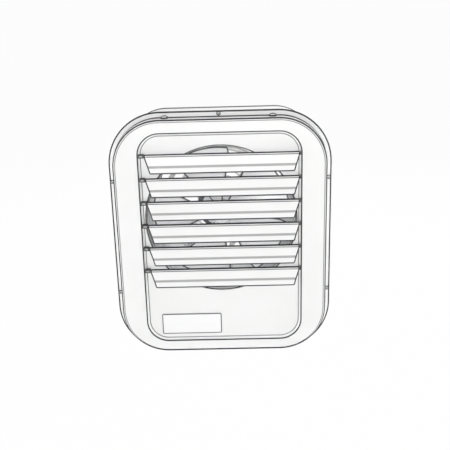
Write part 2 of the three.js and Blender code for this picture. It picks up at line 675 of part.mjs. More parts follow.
// Threaded inserts under the top of the rear case, so that nothing stands on the flat top.
function hangerInsert() {
  return turned([
    [HANGER_BORE, 0], [HANGER_FLANGE, 0], [HANGER_FLANGE, SHEET], [HANGER_RADIUS, SHEET],
    [HANGER_RADIUS, HANGER_LENGTH], [HANGER_BORE, HANGER_LENGTH],
  ], SMALL_STEPS);
}

for (const [side, x] of hangerPlaces) {
  const insert = piece(`hanger_insert_${side}`, hangerInsert(), steel);
  insert.rotation.x = -Math.PI / 2;
  insert.position.set(x, mountDepth, caseHalfHeight - SHEET - SEAT);
}

// ---------------------------------------------------------------- air drum and heating elements

// One element: two legs up through the drum and a nearly closed ring, as one tube.
function elementTube(ring) {
  const gap = Math.asin(ELEMENT_MOUTH / ring);
  const ringPoints = Array.from({ length: RING_STEPS + 1 }, (_, i) => {
    const angle = -Math.PI / 2 - gap - (2 * Math.PI - 2 * gap) * i / RING_STEPS;
    return new THREE.Vector3(ring * Math.cos(angle), 0, ring * Math.sin(angle));
  });
  const legHeights = [-elementEnd, -elementEnd + ELEMENT_STRAIGHT, -ring - ELEMENT_NECK];
  const leg = (side) => legHeights.map((z) => new THREE.Vector3(side * ELEMENT_LEG, 0, z));
  const points = [...leg(-1), ...ringPoints, ...leg(1).reverse()];
  const route = new THREE.CatmullRomCurve3(points, false, 'centripetal');
  const section = new THREE.Shape().absarc(0, 0, ELEMENT_RADIUS, 0, Math.PI * 2);
  return new THREE.ExtrudeGeometry(section, { steps: TUBE_STEPS, extrudePath: route, curveSegments: 4 });
}

const legHoles = elements.flatMap(({ depth }) => [-1, 1].map((side) =>
  new THREE.CylinderGeometry(ELEMENT_HOLE, ELEMENT_HOLE, DRUM_FLANGE * 2, SMALL_STEPS)
    .rotateX(Math.PI / 2).translate(side * ELEMENT_LEG, depth, -drumRadius)));

const drumRim = drumRadius + DRUM_FLANGE;
const drum = turned([
  [drumInner, DRUM_FRONT], [drumRadius, DRUM_FRONT], [drumRadius, drumBack - DRUM_SHEET],
  [drumRim, drumBack - DRUM_SHEET], [drumRim, drumBack], [drumInner, drumBack],
]);
piece('air_drum', cut(drum, ...legHoles), galvanised, fanAxis);

elements.forEach(({ ring, depth }, i) => {
  piece(`heating_element_${i + 1}`, elementTube(ring), sheath, fanAxis).position.y = depth;
});

// ---------------------------------------------------------------- motor

const armAngles = [90, -30, 210]; // degrees, the first arm straight up

function motorSpider() {
  const back = spiderFront + SPIDER_THICK;
  const ring = turned([
    [SPIDER_BORE, spiderFront], [SPIDER_RING, spiderFront], [SPIDER_RING, back], [SPIDER_BORE, back],
  ], MOTOR_STEPS);
  const footRadius = drumInner - SEAT * 2;
  const [armStart, armEnd] = [SPIDER_RING - OVERLAP, footRadius - SPIDER_THICK / 2];
  const arms = armAngles.flatMap((angle) => {
    const arm = box(armEnd - armStart, SPIDER_THICK, SPIDER_ARM_WIDTH,
      (armStart + armEnd) / 2, spiderFront + SPIDER_THICK / 2, 0);
    const foot = box(SPIDER_THICK, SPIDER_FOOT_DEPTH, SPIDER_FOOT_WIDTH,
      footRadius - SPIDER_THICK / 2, spiderFront + SPIDER_FOOT_DEPTH / 2, 0);
    return [arm.rotateY(-angle * DEG), foot.rotateY(-angle * DEG)];
  });
  return join(ring, ...arms);
}

piece('motor_spider', motorSpider(), galvanised, fanAxis);

const shaftBack = motorBack - MOTOR_WALL - SEAT;
const shaft = drumSolid(SHAFT_RADIUS, hubFront - SHAFT_NOSE, shaftBack, SMALL_STEPS);
piece('motor_shaft', shaft, steel, fanAxis);

const shaftClear = SHAFT_RADIUS + SEAT;
const shaftHole = SHAFT_RADIUS + MOTOR_SHAFT_GAP;
const bearingSeat = BEARING_RADIUS + SEAT;
const capBack = motorFront + MOTOR_CAP;
const shoulderBack = motorFront + MOTOR_SHOULDER;
piece('motor_end_bell', turned([
  [shaftHole, motorFront], [MOTOR_RADIUS - MOTOR_CAP_EDGE, motorFront],
  [MOTOR_RADIUS, motorFront + MOTOR_CAP_EDGE], [MOTOR_RADIUS, capBack],
  [bearingSeat, capBack], [bearingSeat, shoulderBack], [shaftHole, shoulderBack],
], MOTOR_STEPS), motorPaint, fanAxis);

const housingFront = capBack + SEAT;
const housingInner = MOTOR_RADIUS - MOTOR_WALL;
const housingInnerBack = motorBack - MOTOR_WALL;
const innerEdge = MOTOR_BACK_EDGE - MOTOR_WALL;
const rearBearingFront = housingInnerBack - SEAT - BEARING_WIDTH;
piece('motor_housing', turned([
  [0, motorBack], [MOTOR_RADIUS - MOTOR_BACK_EDGE, motorBack],
  [MOTOR_RADIUS, motorBack - MOTOR_BACK_EDGE], [MOTOR_RADIUS, housingFront],
  [housingInner, housingFront], [housingInner, housingInnerBack - innerEdge],
  [housingInner - innerEdge, housingInnerBack], [bearingSeat + BEARING_CUP_WALL, housingInnerBack],
  [bearingSeat + BEARING_CUP_WALL, rearBearingFront], [bearingSeat, rearBearingFront],
  [bearingSeat, housingInnerBack], [0, housingInnerBack],
], MOTOR_STEPS), motorPaint, fanAxis);

function bearing(front) {
  return turned([
    [shaftClear, front], [BEARING_RADIUS, front], [BEARING_RADIUS, front + BEARING_WIDTH],
    [shaftClear, front + BEARING_WIDTH],
  ], MOTOR_STEPS);
}
const frontBearingFront = shoulderBack + SEAT;
piece('motor_bearing_front', bearing(frontBearingFront), steel, fanAxis);
piece('motor_bearing_rear', bearing(rearBearingFront), steel, fanAxis);

const coreMiddle = (frontBearingFront + BEARING_WIDTH + rearBearingFront) / 2;
const [coreFront, coreBack] = [coreMiddle - STATOR_LENGTH / 2, coreMiddle + STATOR_LENGTH / 2];
const core = (inner, outer) => turned([
  [inner, coreFront], [outer, coreFront], [outer, coreBack], [inner, coreBack],
], MOTOR_STEPS);
piece('motor_stator', core(STATOR_BORE, housingInner - SEAT), steel, fanAxis);
piece('motor_rotor', core(shaftClear, STATOR_BORE - ROTOR_GAP), steel, fanAxis);

// ---------------------------------------------------------------- fan

// One blade as a thin twisted sheet from inside the hub to its rounded tip.
function fanBlade() {
  const root = HUB_RADIUS - OVERLAP;
  const rings = [];
  for (let i = 0; i <= BLADE_STEPS; i += 1) {
    const outwards = i / BLADE_STEPS;
    const radius = root + (fanRadius - root) * outwards;
    const pitch = FAN_PITCH_ROOT + (FAN_PITCH_TIP - FAN_PITCH_ROOT) * outwards;
    const tipTaper = 1 - 0.16 * outwards ** 8;
    const span = FAN_BLADE_SPAN * (0.82 + 0.18 * outwards) * tipTaper * DEG;
    const face = (offset) => Array.from({ length: CHORD_STEPS + 1 }, (_, j) => {
      const along = j / CHORD_STEPS - 0.5;
      const angle = along * span;
      const camber = FAN_CAMBER * (1 - 4 * along ** 2) * outwards;
      const depth = FAN_MIDDLE + along * pitch - camber + offset;
      return [radius * Math.cos(angle), depth, radius * Math.sin(angle)];
    });
    rings.push([...face(-FAN_BLADE_SHEET / 2), ...face(FAN_BLADE_SHEET / 2).reverse()]);
  }
  return skin(rings, { caps: true });
}

function fanRotor() {
  const hub = turned([
    [shaftClear, hubFront], [HUB_RADIUS - HUB_EDGE, hubFront], [HUB_RADIUS, hubFront + HUB_EDGE],
    [HUB_RADIUS, hubBack], [shaftClear, hubBack],
  ], MOTOR_STEPS);
  const blades = Array.from({ length: FAN_BLADES }, (_, i) =>
    fanBlade().rotateY(-(FAN_FIRST_BLADE + i * 360 / FAN_BLADES) * DEG));
  return join(hub, ...blades);
}

piece('fan', fanRotor(), alloy, fanAxis);

// ---------------------------------------------------------------- thermal cut-out

const cutoutMount = new THREE.Group(); // its X runs out along the arm
cutoutMount.rotation.y = -armAngles[CUTOUT_ARM] * DEG;
fanAxis.add(cutoutMount);

const stripFront = spiderFront - SEAT - CUTOUT_STRIP_THICK;
const strip = roundedRectangle(
  CUTOUT_STRIP_LENGTH, CUTOUT_STRIP_WIDTH, CUTOUT_STRIP_CORNER, CUTOUT_DISTANCE);
const stripPlate = plate(strip, stripFront, stripFront + CUTOUT_STRIP_THICK, EDGE_STEPS);
piece('cutout_strip', stripPlate, galvanised, cutoutMount);

const cutoutFront = -CUTOUT_HEIGHT;
const cutoutShape = turned([
  [0, cutoutFront - CUTOUT_BUTTON_HEIGHT], [CUTOUT_BUTTON, cutoutFront - CUTOUT_BUTTON_HEIGHT],
  [CUTOUT_BUTTON, cutoutFront], [CUTOUT_RADIUS - CUTOUT_EDGE, cutoutFront],
  [CUTOUT_RADIUS, cutoutFront + CUTOUT_EDGE], [CUTOUT_RADIUS, 0], [0, 0],
], MOTOR_STEPS);
piece('thermal_cutout', cutoutShape, moulding, cutoutMount)
  .position.set(CUTOUT_DISTANCE, stripFront - SEAT, 0);

// ---------------------------------------------------------------- wiring compartment

const terminalTop = compartmentFloor + SEAT + TERMINAL_HEIGHT;
const wayFloor = terminalTop - TERMINAL_WAY_SINK;
const wayX = (way) => way * TERMINAL_WAY_PITCH;
const rowDepth = (row) => terminalMiddle + row * TERMINAL_ROW_PITCH / 2;
const ways = [-1, 0, 1].flatMap((way) => [-1, 1].map((row) => box(
  TERMINAL_WAY_WIDTH, TERMINAL_WAY_DEPTH, TERMINAL_HEIGHT,
  wayX(way), rowDepth(row), wayFloor + TERMINAL_HEIGHT / 2)));
const blockSolid = box(
  TERMINAL_WIDTH, TERMINAL_DEPTH, TERMINAL_HEIGHT, 0, terminalMiddle, terminalTop - TERMINAL_HEIGHT / 2);
piece('terminal_block', cut(blockSolid, ...ways), moulding);

// A lead from the end of an element's leg down into its way of the terminal block.
function elementLead(side, depth, row) {
  const start = axisHeight - elementEnd - SEAT;
  const [endX, endDepth, end] = [wayX(side), rowDepth(row), wayFloor + SEAT];
  const route = new THREE.CatmullRomCurve3([
    new THREE.Vector3(side * ELEMENT_LEG, depth, start),
    new THREE.Vector3(side * ELEMENT_LEG, depth, start - LEAD_STRAIGHT),
    new THREE.Vector3(endX, endDepth, (start + end) / 2),
    new THREE.Vector3(endX, endDepth, end + LEAD_STRAIGHT),
    new THREE.Vector3(endX, endDepth, end),
  ], false, 'centripetal');
  const section = new THREE.Shape().absarc(0, 0, LEAD_RADIUS, 0, Math.PI * 2);
  return new THREE.ExtrudeGeometry(section, { steps: LEAD_STEPS, extrudePath: route, curveSegments: 4 });
}

elements.forEach(({ depth }, element) => {
  [-1, 1].forEach((side, leg) => {
    const row = element === 0 ? -1 : 1;
    piece(`element_lead_${element * 2 + leg + 1}`, elementLead(side, depth, row), leadSleeve);
  });
});

const stud = new THREE.CylinderGeometry(STUD_RADIUS, STUD_RADIUS, STUD_HEIGHT, SMALL_STEPS);
piece('earth_stud', stud.rotateX(Math.PI / 2), brass)
  .position.set(STUD_X, terminalMiddle, compartmentFloor + SEAT + STUD_HEIGHT / 2);

// Bush in the cable entry of the back.
const [bushRimFront, bushRimBack] = [CASE_BACK + SEAT, CASE_BACK + SEAT + ENTRY_BUSH_RIM_THICK];
const sleeveFront = caseInnerBack - ENTRY_BUSH_SLEEVE;
piece('cable_bush', turned([
  [ENTRY_BUSH_BORE, bushRimBack], [ENTRY_BUSH_RIM, bushRimBack], [ENTRY_BUSH_RIM, bushRimFront],
  [ENTRY_RADIUS - SEAT, bushRimFront], [ENTRY_RADIUS - SEAT, sleeveFront], [ENTRY_BUSH_BORE, sleeveFront],
], SMALL_STEPS), moulding).position.set(entryX, 0, entryZ);

// ---------------------------------------------------------------- intake guard

function intakeGuard() {
  const front = CASE_BACK + SEAT;
  const ring = (middle, width, thick) => turned([
    [middle - width / 2, front], [middle + width / 2, front], [middle + width / 2, front + thick],
    [middle - width / 2, front + thick],
  ], GUARD_STEPS);
  const rings = Array.from({ length: GUARD_RING_COUNT }, (_, i) =>
    ring(guardRim - (GUARD_RING_COUNT - i) * GUARD_RING_PITCH, GUARD_WIRE, GUARD_WIRE));
  const rim = ring(guardRim, GUARD_RIM_WIDTH, GUARD_RIM_THICK);
  const middleDisc = drumSolid(GUARD_DISC, front, front + GUARD_WIRE, GUARD_STEPS);
  const spoke = box(guardRim, GUARD_WIRE, GUARD_WIRE, guardRim / 2, front + GUARD_WIRE / 2, 0);
  const spokes = Array.from({ length: GUARD_SPOKES }, (_, i) =>
    spoke.clone().rotateY(2 * Math.PI * i / GUARD_SPOKES));
  return join(middleDisc, rim, ...rings, ...spokes);
}

piece('intake_guard', intakeGuard(), steel, fanAxis);

export default heater;
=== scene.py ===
# %% [markdown]
# # A ceiling mounted fan heater in white pressed steel
# The heater is a shallow steel box that hangs from its flat top. Its front is one pressing with a rounded
# face, an out-turned flange and a shallow recess, where six bent louvres turn on rods in front of a fan.
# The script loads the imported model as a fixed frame, then builds a finer skin for each piece that shows.
# Every piece sits where the frame says, so nothing here is fitted by eye.

# %% Load the frame
import math

import bmesh
import bpy
from mathutils import Matrix, Vector
from mathutils.kdtree import KDTree


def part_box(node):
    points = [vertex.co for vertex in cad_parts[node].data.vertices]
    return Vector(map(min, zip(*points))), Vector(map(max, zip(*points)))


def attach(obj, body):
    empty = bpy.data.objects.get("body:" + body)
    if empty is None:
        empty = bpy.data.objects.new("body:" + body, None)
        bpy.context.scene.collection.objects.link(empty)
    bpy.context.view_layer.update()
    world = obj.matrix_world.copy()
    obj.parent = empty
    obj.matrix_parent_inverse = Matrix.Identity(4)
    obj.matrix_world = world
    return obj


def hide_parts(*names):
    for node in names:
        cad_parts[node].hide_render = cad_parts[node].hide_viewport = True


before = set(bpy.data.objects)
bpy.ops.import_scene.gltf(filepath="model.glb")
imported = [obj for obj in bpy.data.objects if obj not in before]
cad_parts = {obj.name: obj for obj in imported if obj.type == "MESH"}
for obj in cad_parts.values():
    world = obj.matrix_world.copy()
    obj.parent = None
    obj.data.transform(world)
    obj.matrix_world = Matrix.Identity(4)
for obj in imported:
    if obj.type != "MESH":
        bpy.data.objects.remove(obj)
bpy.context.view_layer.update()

scene = bpy.context.scene

# %% [markdown]
# ## One set of axes for the whole heater
# A sheet-metal drawing gives depths behind the face and heights above the middle of the panel, in
# millimetres. Working in those numbers keeps every size readable. Two places come from the frame: the face
# of the front panel, and the fan's axis, which is the middle of the air drum. The drum also sets the size of
# the opening round its front, of the intake at its back and of the fan inside it.

# %% Panel millimetres
MM = 0.001
panel_low, panel_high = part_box("front_panel")
FACE_Y = panel_low.y
MIDDLE_Z = (panel_low.z + panel_high.z) / 2


def place(x, depth, height):
    """A point of the row frame, in metres, from a place in panel millimetres."""
    return Vector((x * MM, FACE_Y + depth * MM, MIDDLE_Z + height * MM))


def span(node):
    """A node's box in panel millimetres: (x, x), (depth, depth), (height, height)."""
    low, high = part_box(node)
    return (
        (low.x / MM, high.x / MM),
        ((low.y - FACE_Y) / MM, (high.y - FACE_Y) / MM),
        ((low.z - MIDDLE_Z) / MM, (high.z - MIDDLE_Z) / MM),
    )


def middle_of(pair):
    """Halfway between the two ends of a span."""
    return (pair[0] + pair[1]) / 2


def limited(value):
    """A number held between 0 and 1."""
    return min(1.0, max(0.0, value))


def add_object(name, data):
    """A new object in the scene."""
    made = bpy.data.objects.new(name, data)
    scene.collection.objects.link(made)
    return made


drum_x, drum_depth, drum_height = span("air_drum")
AXIS_HEIGHT = middle_of(drum_height)
DRUM_FLANGE, DRUM_SHEET = 8.0, 1.0
DRUM = (drum_x[1] - drum_x[0]) / 2 - DRUM_FLANGE
COLLAR_GAP, INTAKE_LIP, TIP_GAP = 1.0, 7.5, 6.0
ORIFICE, INTAKE, FAN_RADIUS = DRUM + COLLAR_GAP, DRUM - INTAKE_LIP, DRUM - DRUM_SHEET - TIP_GAP
print("fan axis", round(AXIS_HEIGHT, 2), "mm above the panel's middle, opening radius", round(ORIFICE, 2))

# %% [markdown]
# ## The camera
# The picture looks slightly down at the front from just right of the middle. The lens and the place were
# worked out from the outlines of the flange, the recess and the louvres, which are flat and parallel, so
# their lines fix a camera well. The view axes are x to the right, y down and z into the picture, which is
# turned into Blender's own camera axes at the end.

# %% Camera
LENS, SENSOR = 58.98, 36.0
CAMERA_PLACE = (22.9, -1144.1, 400.6)  # panel millimetres
LOOK_DOWN, LOOK_ASIDE, ROLL = 18.11, 0.856, -1.571  # degrees

camera_data = bpy.data.cameras.new("camera")
camera_data.lens = LENS
camera_data.sensor_width = SENSOR
camera = add_object("camera", camera_data)
scene.camera = camera

straight_ahead = Matrix(((1, 0, 0), (0, 0, -1), (0, 1, 0)))
turned_view = (
    Matrix.Rotation(math.radians(ROLL), 3, "Z")
    @ Matrix.Rotation(math.radians(LOOK_DOWN), 3, "X")
    @ Matrix.Rotation(math.radians(LOOK_ASIDE), 3, "Y")
    @ straight_ahead
)
blender_axes = turned_view.transposed() @ Matrix.Diagonal((1, -1, -1))
camera.matrix_world = Matrix.Translation(place(*CAMERA_PLACE)) @ blender_axes.to_4x4()
print("camera at", [round(v, 4) for v in camera.matrix_world.translation])

# %% [markdown]
# ## Shader maths as Python
# A material here is a sum of a few measured effects, so it is easier to read as an expression than as a
# chain of nodes. `Value` wraps an output socket and adds a Math node for each operator. Colours are mixed
# with Mix nodes, because a Math node would turn them grey.

# %% Values and finishes
class Value:
    """A number that changes over a surface, for use in Python expressions."""

    def __init__(self, finish, socket):
        self.finish = finish
        self.socket = socket

    def math(self, operation, *others, clamp=False):
        settings = {"operation": operation, "use_clamp": clamp}
        return self.finish.node("ShaderNodeMath", settings, dict(enumerate([self, *others])))

    def __add__(self, other):
        return self.math("ADD", other)

    def __sub__(self, other):
        return self.math("SUBTRACT", other)

    def __mul__(self, other):
        return self.math("MULTIPLY", other)

    def __truediv__(self, other):
        return self.math("DIVIDE", other)

    __radd__ = __add__

    def clamped(self):
        return self.math("ADD", 0.0, clamp=True)

    def rises(self, start, end):
        """0 below start and 1 above end."""
        return ((self - start) / (end - start)).clamped()


class Finish:
    """One material, its principled shader and the nodes that feed it."""

    def __init__(self, name, color, roughness, metallic=0.0, coat=0.0):
        self.material = bpy.data.materials.new(name)
        self.material.use_nodes = True
        self.material.diffuse_color = (*color, 1.0)
        self.tree = self.material.node_tree
        self.shader = self.tree.nodes["Principled BSDF"]
        self.put("Base Color", color)
        self.put("Roughness", roughness)
        self.put("Metallic", metallic)
        self.put("Coat Weight", coat)

    def put(self, name, value):
        """Sets one of the shader's sockets to a number, a colour or a Value."""
        self.connect(self.shader.inputs[name], value)

    def connect(self, socket, value):
        """Links a Value to a socket, or sets the socket to a number, a vector or an RGB colour."""
        if isinstance(value, Value):
            self.tree.links.new(value.socket, socket)
        elif socket.type == "RGBA":
            socket.default_value = (*value, 1.0)
        else:
            socket.default_value = value

    def node(self, kind, settings=None, inputs=None, output=0):
        """A new node: its settings first, then the values or links of its sockets."""
        made = self.tree.nodes.new(kind)
        for key, value in (settings or {}).items():
            setattr(made, key, value)
        for key, value in (inputs or {}).items():
            self.connect(made.inputs[key], value)
        return Value(self, made.outputs[output])

    def places(self):
        """Where a point is on the piece, in metres; the pieces' origins are all the frame's."""
        return self.node("ShaderNodeTexCoord", output="Object")

    def stretched(self, x, y, z):
        """Places with each axis scaled, for a grain that runs one way."""
        return self.node("ShaderNodeMapping", {}, {"Vector": self.places(), "Scale": (x, y, z)})

    def noise(self, size, detail=2.0, where=None):
        """Cloudy noise from 0 to 1 whose grains are about size millimetres across."""
        inputs = {"Vector": where or self.places(), "Scale": 1 / (size * MM), "Detail": detail}
        return self.node("ShaderNodeTexNoise", {}, inputs)

    def cells(self, size):
        """Flat cells about size millimetres across, each of its own colour."""
        inputs = {"Vector": self.places(), "Scale": 1 / (size * MM)}
        return self.node("ShaderNodeTexVoronoi", {}, inputs, output="Color")

    def mix(self, first, second, factor):
        """A colour between two: RGB tuples or colour values."""
        return self.node("ShaderNodeMix", {"data_type": "RGBA"}, {0: factor, 6: first, 7: second}, output=2)

    def line(self):
        """How strongly painted shade darkens a point: 0 on open sheet, up to 1 on a line along an edge or in
        a crease.
        """
        return self.node("ShaderNodeAttribute", {"attribute_name": "line"}, output="Fac")

    def bump(self, height, distance):
        """Relief that is distance millimetres high where height is 1."""
        inputs = {"Height": height, "Distance": distance * MM}
        self.put("Normal", self.node("ShaderNodeBump", {}, inputs, output="Normal"))


# %% [markdown]
# ## White powder coat
# The casing, the flanges and the louvres are powder coated in white. Powder coat has a fine orange-peel
# skin about a millimetre across and a satin sheen. Shade is painted on it as thin dark lines along its
# edges and in its creases, where the outlines of the pressings lie, so the meshes carry a value called
# `line`, and the paint darkens by it. A wire-thin line needs no texture that way.

# %% Powder coat
WHITE = (0.89, 0.89, 0.887)
WARM_WHITE = (0.87, 0.87, 0.863)
# near black painted shade, for the dark lines along edges and in creases
PAINTED_SHADE_GREY = (0.022, 0.022, 0.024)
FOIL_WHITE = (0.9, 0.9, 0.9)


def with_painted_shade(finish, color):
    """Gives a finish its colour, darkened by painted shade along edges and in creases."""
    finish.put("Base Color", finish.mix(color, PAINTED_SHADE_GREY, finish.line()))


def powder_coat():
    finish = Finish("powder_coat_white", WHITE, 0.66)
    clouds = finish.noise(60, detail=3)
    with_painted_shade(finish, finish.mix(WHITE, WARM_WHITE, clouds.rises(0.35, 0.75)))
    finish.put("Roughness", 0.62 + clouds * 0.08 + finish.line() * 0.1)
    finish.bump(finish.noise(1.1, detail=1), 0.02)
    return finish.material


def plate_foil():
    finish = Finish("nameplate_foil", FOIL_WHITE, 0.34)
    with_painted_shade(finish, FOIL_WHITE)
    finish.put("Roughness", 0.28 + finish.noise(9, detail=3) * 0.12)
    finish.bump(finish.noise(0.5, detail=1), 0.005)
    return finish.material


casing_paint = powder_coat()
nameplate_foil = plate_foil()
print("paints:", casing_paint.name, nameplate_foil.name)

# %% [markdown]
# ## Metals
# Zinc plate is pale with faint blue clouds. Galvanised sheet shows flat crystals called spangle, a few
# millimetres across, each at its own brightness. Stamped fan alloy keeps the fine lines of the rolling
# mill, and the bright sheath of a heating element turns faintly straw and blue-grey where it runs hot.

# %% Metals
def zinc():
    finish = Finish("zinc_plate", (0.72, 0.73, 0.74), 0.3, metallic=0.75)
    clouds = finish.noise(3, detail=3)
    with_painted_shade(finish, finish.mix((0.78, 0.79, 0.8), (0.62, 0.64, 0.67), clouds.rises(0.35, 0.7)))
    finish.put("Roughness", 0.24 + clouds * 0.16)
    finish.bump(finish.noise(0.35), 0.008)
    return finish.material


def galvanised_sheet():
    finish = Finish("galvanised_sheet", (0.86, 0.865, 0.87), 0.5, metallic=0.12)
    bright = finish.node("ShaderNodeSeparateColor", {}, {0: finish.cells(7)})
    with_painted_shade(finish, finish.mix((0.89, 0.895, 0.9), (0.8, 0.81, 0.82), bright))
    finish.put("Roughness", 0.4 + bright * 0.18)
    finish.bump(finish.noise(0.8), 0.01)
    return finish.material


def fan_alloy():
    finish = Finish("fan_alloy", (0.9, 0.9, 0.905), 0.4, metallic=0.1)
    rolled = finish.noise(1.0, detail=4, where=finish.stretched(1.0, 1.0, 0.04))
    with_painted_shade(finish, finish.mix((0.92, 0.92, 0.922), (0.86, 0.865, 0.87), rolled.rises(0.35, 0.7)))
    finish.put("Roughness", 0.34 + rolled * 0.14)
    finish.bump(rolled, 0.01)
    return finish.material


def element_sheath():
    finish = Finish("element_sheath", (0.78, 0.775, 0.765), 0.45, metallic=0.2)
    heat = finish.noise(38, detail=4)
    with_painted_shade(finish, finish.mix((0.82, 0.81, 0.79), (0.7, 0.71, 0.73), heat.rises(0.4, 0.62)))
    finish.put("Roughness", 0.38 + heat * 0.2)
    finish.bump(finish.noise(0.9), 0.02)
    return finish.material


def core_steel():
    finish = Finish("core_steel", (0.4, 0.4, 0.41), 0.45, metallic=0.8)
    sheets = finish.noise(0.5, detail=2, where=finish.stretched(0.02, 1.0, 0.02))
    finish.put("Base Color", finish.mix((0.5, 0.5, 0.51), (0.3, 0.3, 0.31), sheets.rises(0.4, 0.6)))
    finish.bump(sheets, 0.05)
    return finish.material


def plain_brass():
    finish = Finish("plain_brass", (0.7, 0.56, 0.3), 0.32, metallic=0.9)
    tarnish = finish.noise(5, detail=4)
    finish.put("Base Color", finish.mix((0.74, 0.6, 0.32), (0.55, 0.42, 0.22), tarnish.rises(0.45, 0.7)))
    finish.put("Roughness", 0.26 + tarnish * 0.2)
    finish.bump(finish.noise(0.4), 0.01)
    return finish.material


zinc_plate = zinc()
galvanised = galvanised_sheet()
alloy = fan_alloy()
sheath = element_sheath()
core = core_steel()
brass = plain_brass()
print("metals:", len([zinc_plate, galvanised, alloy, sheath, core, brass]))

# %% [markdown]
# ## Plastics, enamel and rubber
# Phenolic mouldings are near black with the dull, finely grained skin of a mould. The motor has a slightly
# lumpy baked enamel, the intake guard a smooth dipped coat, and the leads have a woven sleeve.

# %% Plastics and enamel
def moulded(name, light, dark, grain, roughness):
    """A moulded plastic: a little cloudiness in the colour and the fine grain of a spark-eroded mould."""
    finish = Finish(name, light, roughness)
    clouds = finish.noise(grain * 12, detail=3)
    with_painted_shade(finish, finish.mix(light, dark, clouds.rises(0.3, 0.7)))
    finish.put("Roughness", roughness - 0.06 + clouds * 0.12)
    finish.bump(finish.noise(grain, detail=2), 0.02)
    return finish.material


def motor_enamel():
    finish = Finish("motor_enamel", (0.14, 0.15, 0.16), 0.42, coat=0.2)
    clouds = finish.noise(25, detail=3)
    with_painted_shade(finish, finish.mix((0.15, 0.16, 0.17), (0.1, 0.108, 0.115), clouds.rises(0.35, 0.7)))
    finish.put("Roughness", 0.36 + clouds * 0.14)
    finish.bump(finish.noise(2.4, detail=2), 0.05)
    return finish.material


def woven_sleeve():
    finish = Finish("woven_sleeve", (0.7, 0.68, 0.62), 0.7)
    weave = finish.noise(0.6, detail=1, where=finish.stretched(1.0, 1.0, 2.5))
    finish.put("Base Color", finish.mix((0.76, 0.74, 0.68), (0.58, 0.56, 0.5), weave.rises(0.35, 0.65)))
    finish.bump(weave, 0.08)
    return finish.material


black_moulding = moulded("black_moulding", (0.045, 0.045, 0.05), (0.03, 0.03, 0.033), 0.3, 0.5)
guard_coat = moulded("guard_coat", (0.78, 0.78, 0.77), (0.72, 0.72, 0.71), 0.8, 0.4)
# a near black moulding, used as painted shade on bevelled edges
shade_edge_paint = moulded("edge_line", (0.05, 0.05, 0.053), (0.04, 0.04, 0.042), 0.5, 0.6)
enamel = motor_enamel()
sleeve = woven_sleeve()
print("plastics and enamel:", black_moulding.name, guard_coat.name, enamel.name, sleeve.name)

# %% [markdown]
# ## Profiles
# Pressed and turned parts are one outline carried round a path: a rounded rectangle for the casing, a
# circle for the fan and the drum. `Profile` draws that outline with lines and arcs. Where shade is painted
# as a dark line along an edge or in a crease, the place is marked, and the trace adds points beside the mark
# so that the line is crisp.

# %% Profiles
SOFT = 0.25  # millimetres over which a line fades out
NEAR = 0.02  # points closer than this are one point


class Profile:
    """A line of (out, depth) points in millimetres that remembers where it is marked."""

    def __init__(self, out, depth):
        self.points = [(out, depth)]
        self.marks = []

    def to(self, out, depth):
        """A straight line to a point, left out where the profile is already there."""
        if math.dist(self.points[-1], (out, depth)) > NEAR:
            self.points.append((out, depth))
        return self

    def arc(self, out, depth, radius, start, end, steps=6):
        """An arc about a centre, between two angles in degrees."""
        for i in range(steps + 1):
            angle = math.radians(start + (end - start) * i / steps)
            self.to(out + radius * math.cos(angle), depth + radius * math.sin(angle))
        return self

    def distances(self):
        """How far along the line each point is."""
        total = [0.0]
        for first, second in zip(self.points, self.points[1:]):
            total.append(total[-1] + math.dist(first, second))
        return total

    def mark(self, width, strength, soft=SOFT, where=None):
        """Marks the place reached so far with a painted shade line of that width.

        Where a path goes round a piece, where(cos, sin) says how much of the line shows in each direction."""
        self.marks.append((self.distances()[-1], width / 2, strength, soft, where))
        return self

    def strength(self, distance, cos=0.0, sin=0.0):
        """How strong the lines are at a distance along the profile, in one direction of its path."""
        found = [0.0]
        for centre, half, strength, soft, where in self.marks:
            share = where(cos, sin) if where else 1.0
            found.append(share * strength * limited((half + soft - abs(distance - centre)) / soft))
        return max(found)

    def traced(self, closed=False):
        """(out, depth, distance) points, with more of them where the marks start and end.

        A closed profile ends where it starts, and its last point is left out."""
        known = self.distances()
        stops = list(known)
        for centre, half, _, soft, _ in self.marks:
            for stop in (centre - half - soft, centre - half, centre + half, centre + half + soft):
                if 0 < stop < known[-1] and min(abs(stop - other) for other in stops) > NEAR:
                    stops.append(stop)
        traced = []
        for stop in sorted(stops):
            i = max(k for k in range(len(known)) if known[k] <= stop)
            i = min(i, len(known) - 2)
            share = (stop - known[i]) / (known[i + 1] - known[i])
            first, second = self.points[i], self.points[i + 1]
            out = first[0] + (second[0] - first[0]) * share
            depth = first[1] + (second[1] - first[1]) * share
            traced.append((out, depth, stop))
        return traced[:-1] if closed else traced


# these say in which directions round a piece its painted shade lines show
def on_top(cos, sin):
    """How far a direction points up: 1 along the top of a piece, 0 along its sides."""
    return limited((sin - 0.35) / 0.5)


def on_bottom(cos, sin):
    """1 along the bottom of a piece, 0 along its sides."""
    return on_top(cos, -sin)


def off_top(cos, sin):
    return 1.0 - on_top(cos, sin)


def off_bottom(cos, sin):
    return 1.0 - on_bottom(cos, sin)


CORNER_STEPS = 22
CIRCLE_STEPS = 144


def rounded_path(half_x, half_height, x=0.0, height=0.0):
    """Corner centres and directions round a rounded rectangle: (x, height, cos, sin) for each step."""
    path = []
    for side_x, side_h, start in ((1, 1, 0), (-1, 1, 90), (-1, -1, 180), (1, -1, 270)):
        corner = (x + side_x * half_x, height + side_h * half_height)
        for i in range(CORNER_STEPS + 1):
            angle = math.radians(start + 90 * i / CORNER_STEPS)
            path.append((*corner, math.cos(angle), math.sin(angle)))
    return path


def round_path(x, height, steps=CIRCLE_STEPS):
    """A circle about a place, in the form of rounded_path."""
    angles = [2 * math.pi * i / steps for i in range(steps)]
    return [(x, height, math.cos(angle), math.sin(angle)) for angle in angles]


def path_round(node, steps):
    """A round path about the middle of a node."""
    (x, _, height) = span(node)
    return round_path(middle_of(x), middle_of(height), steps)


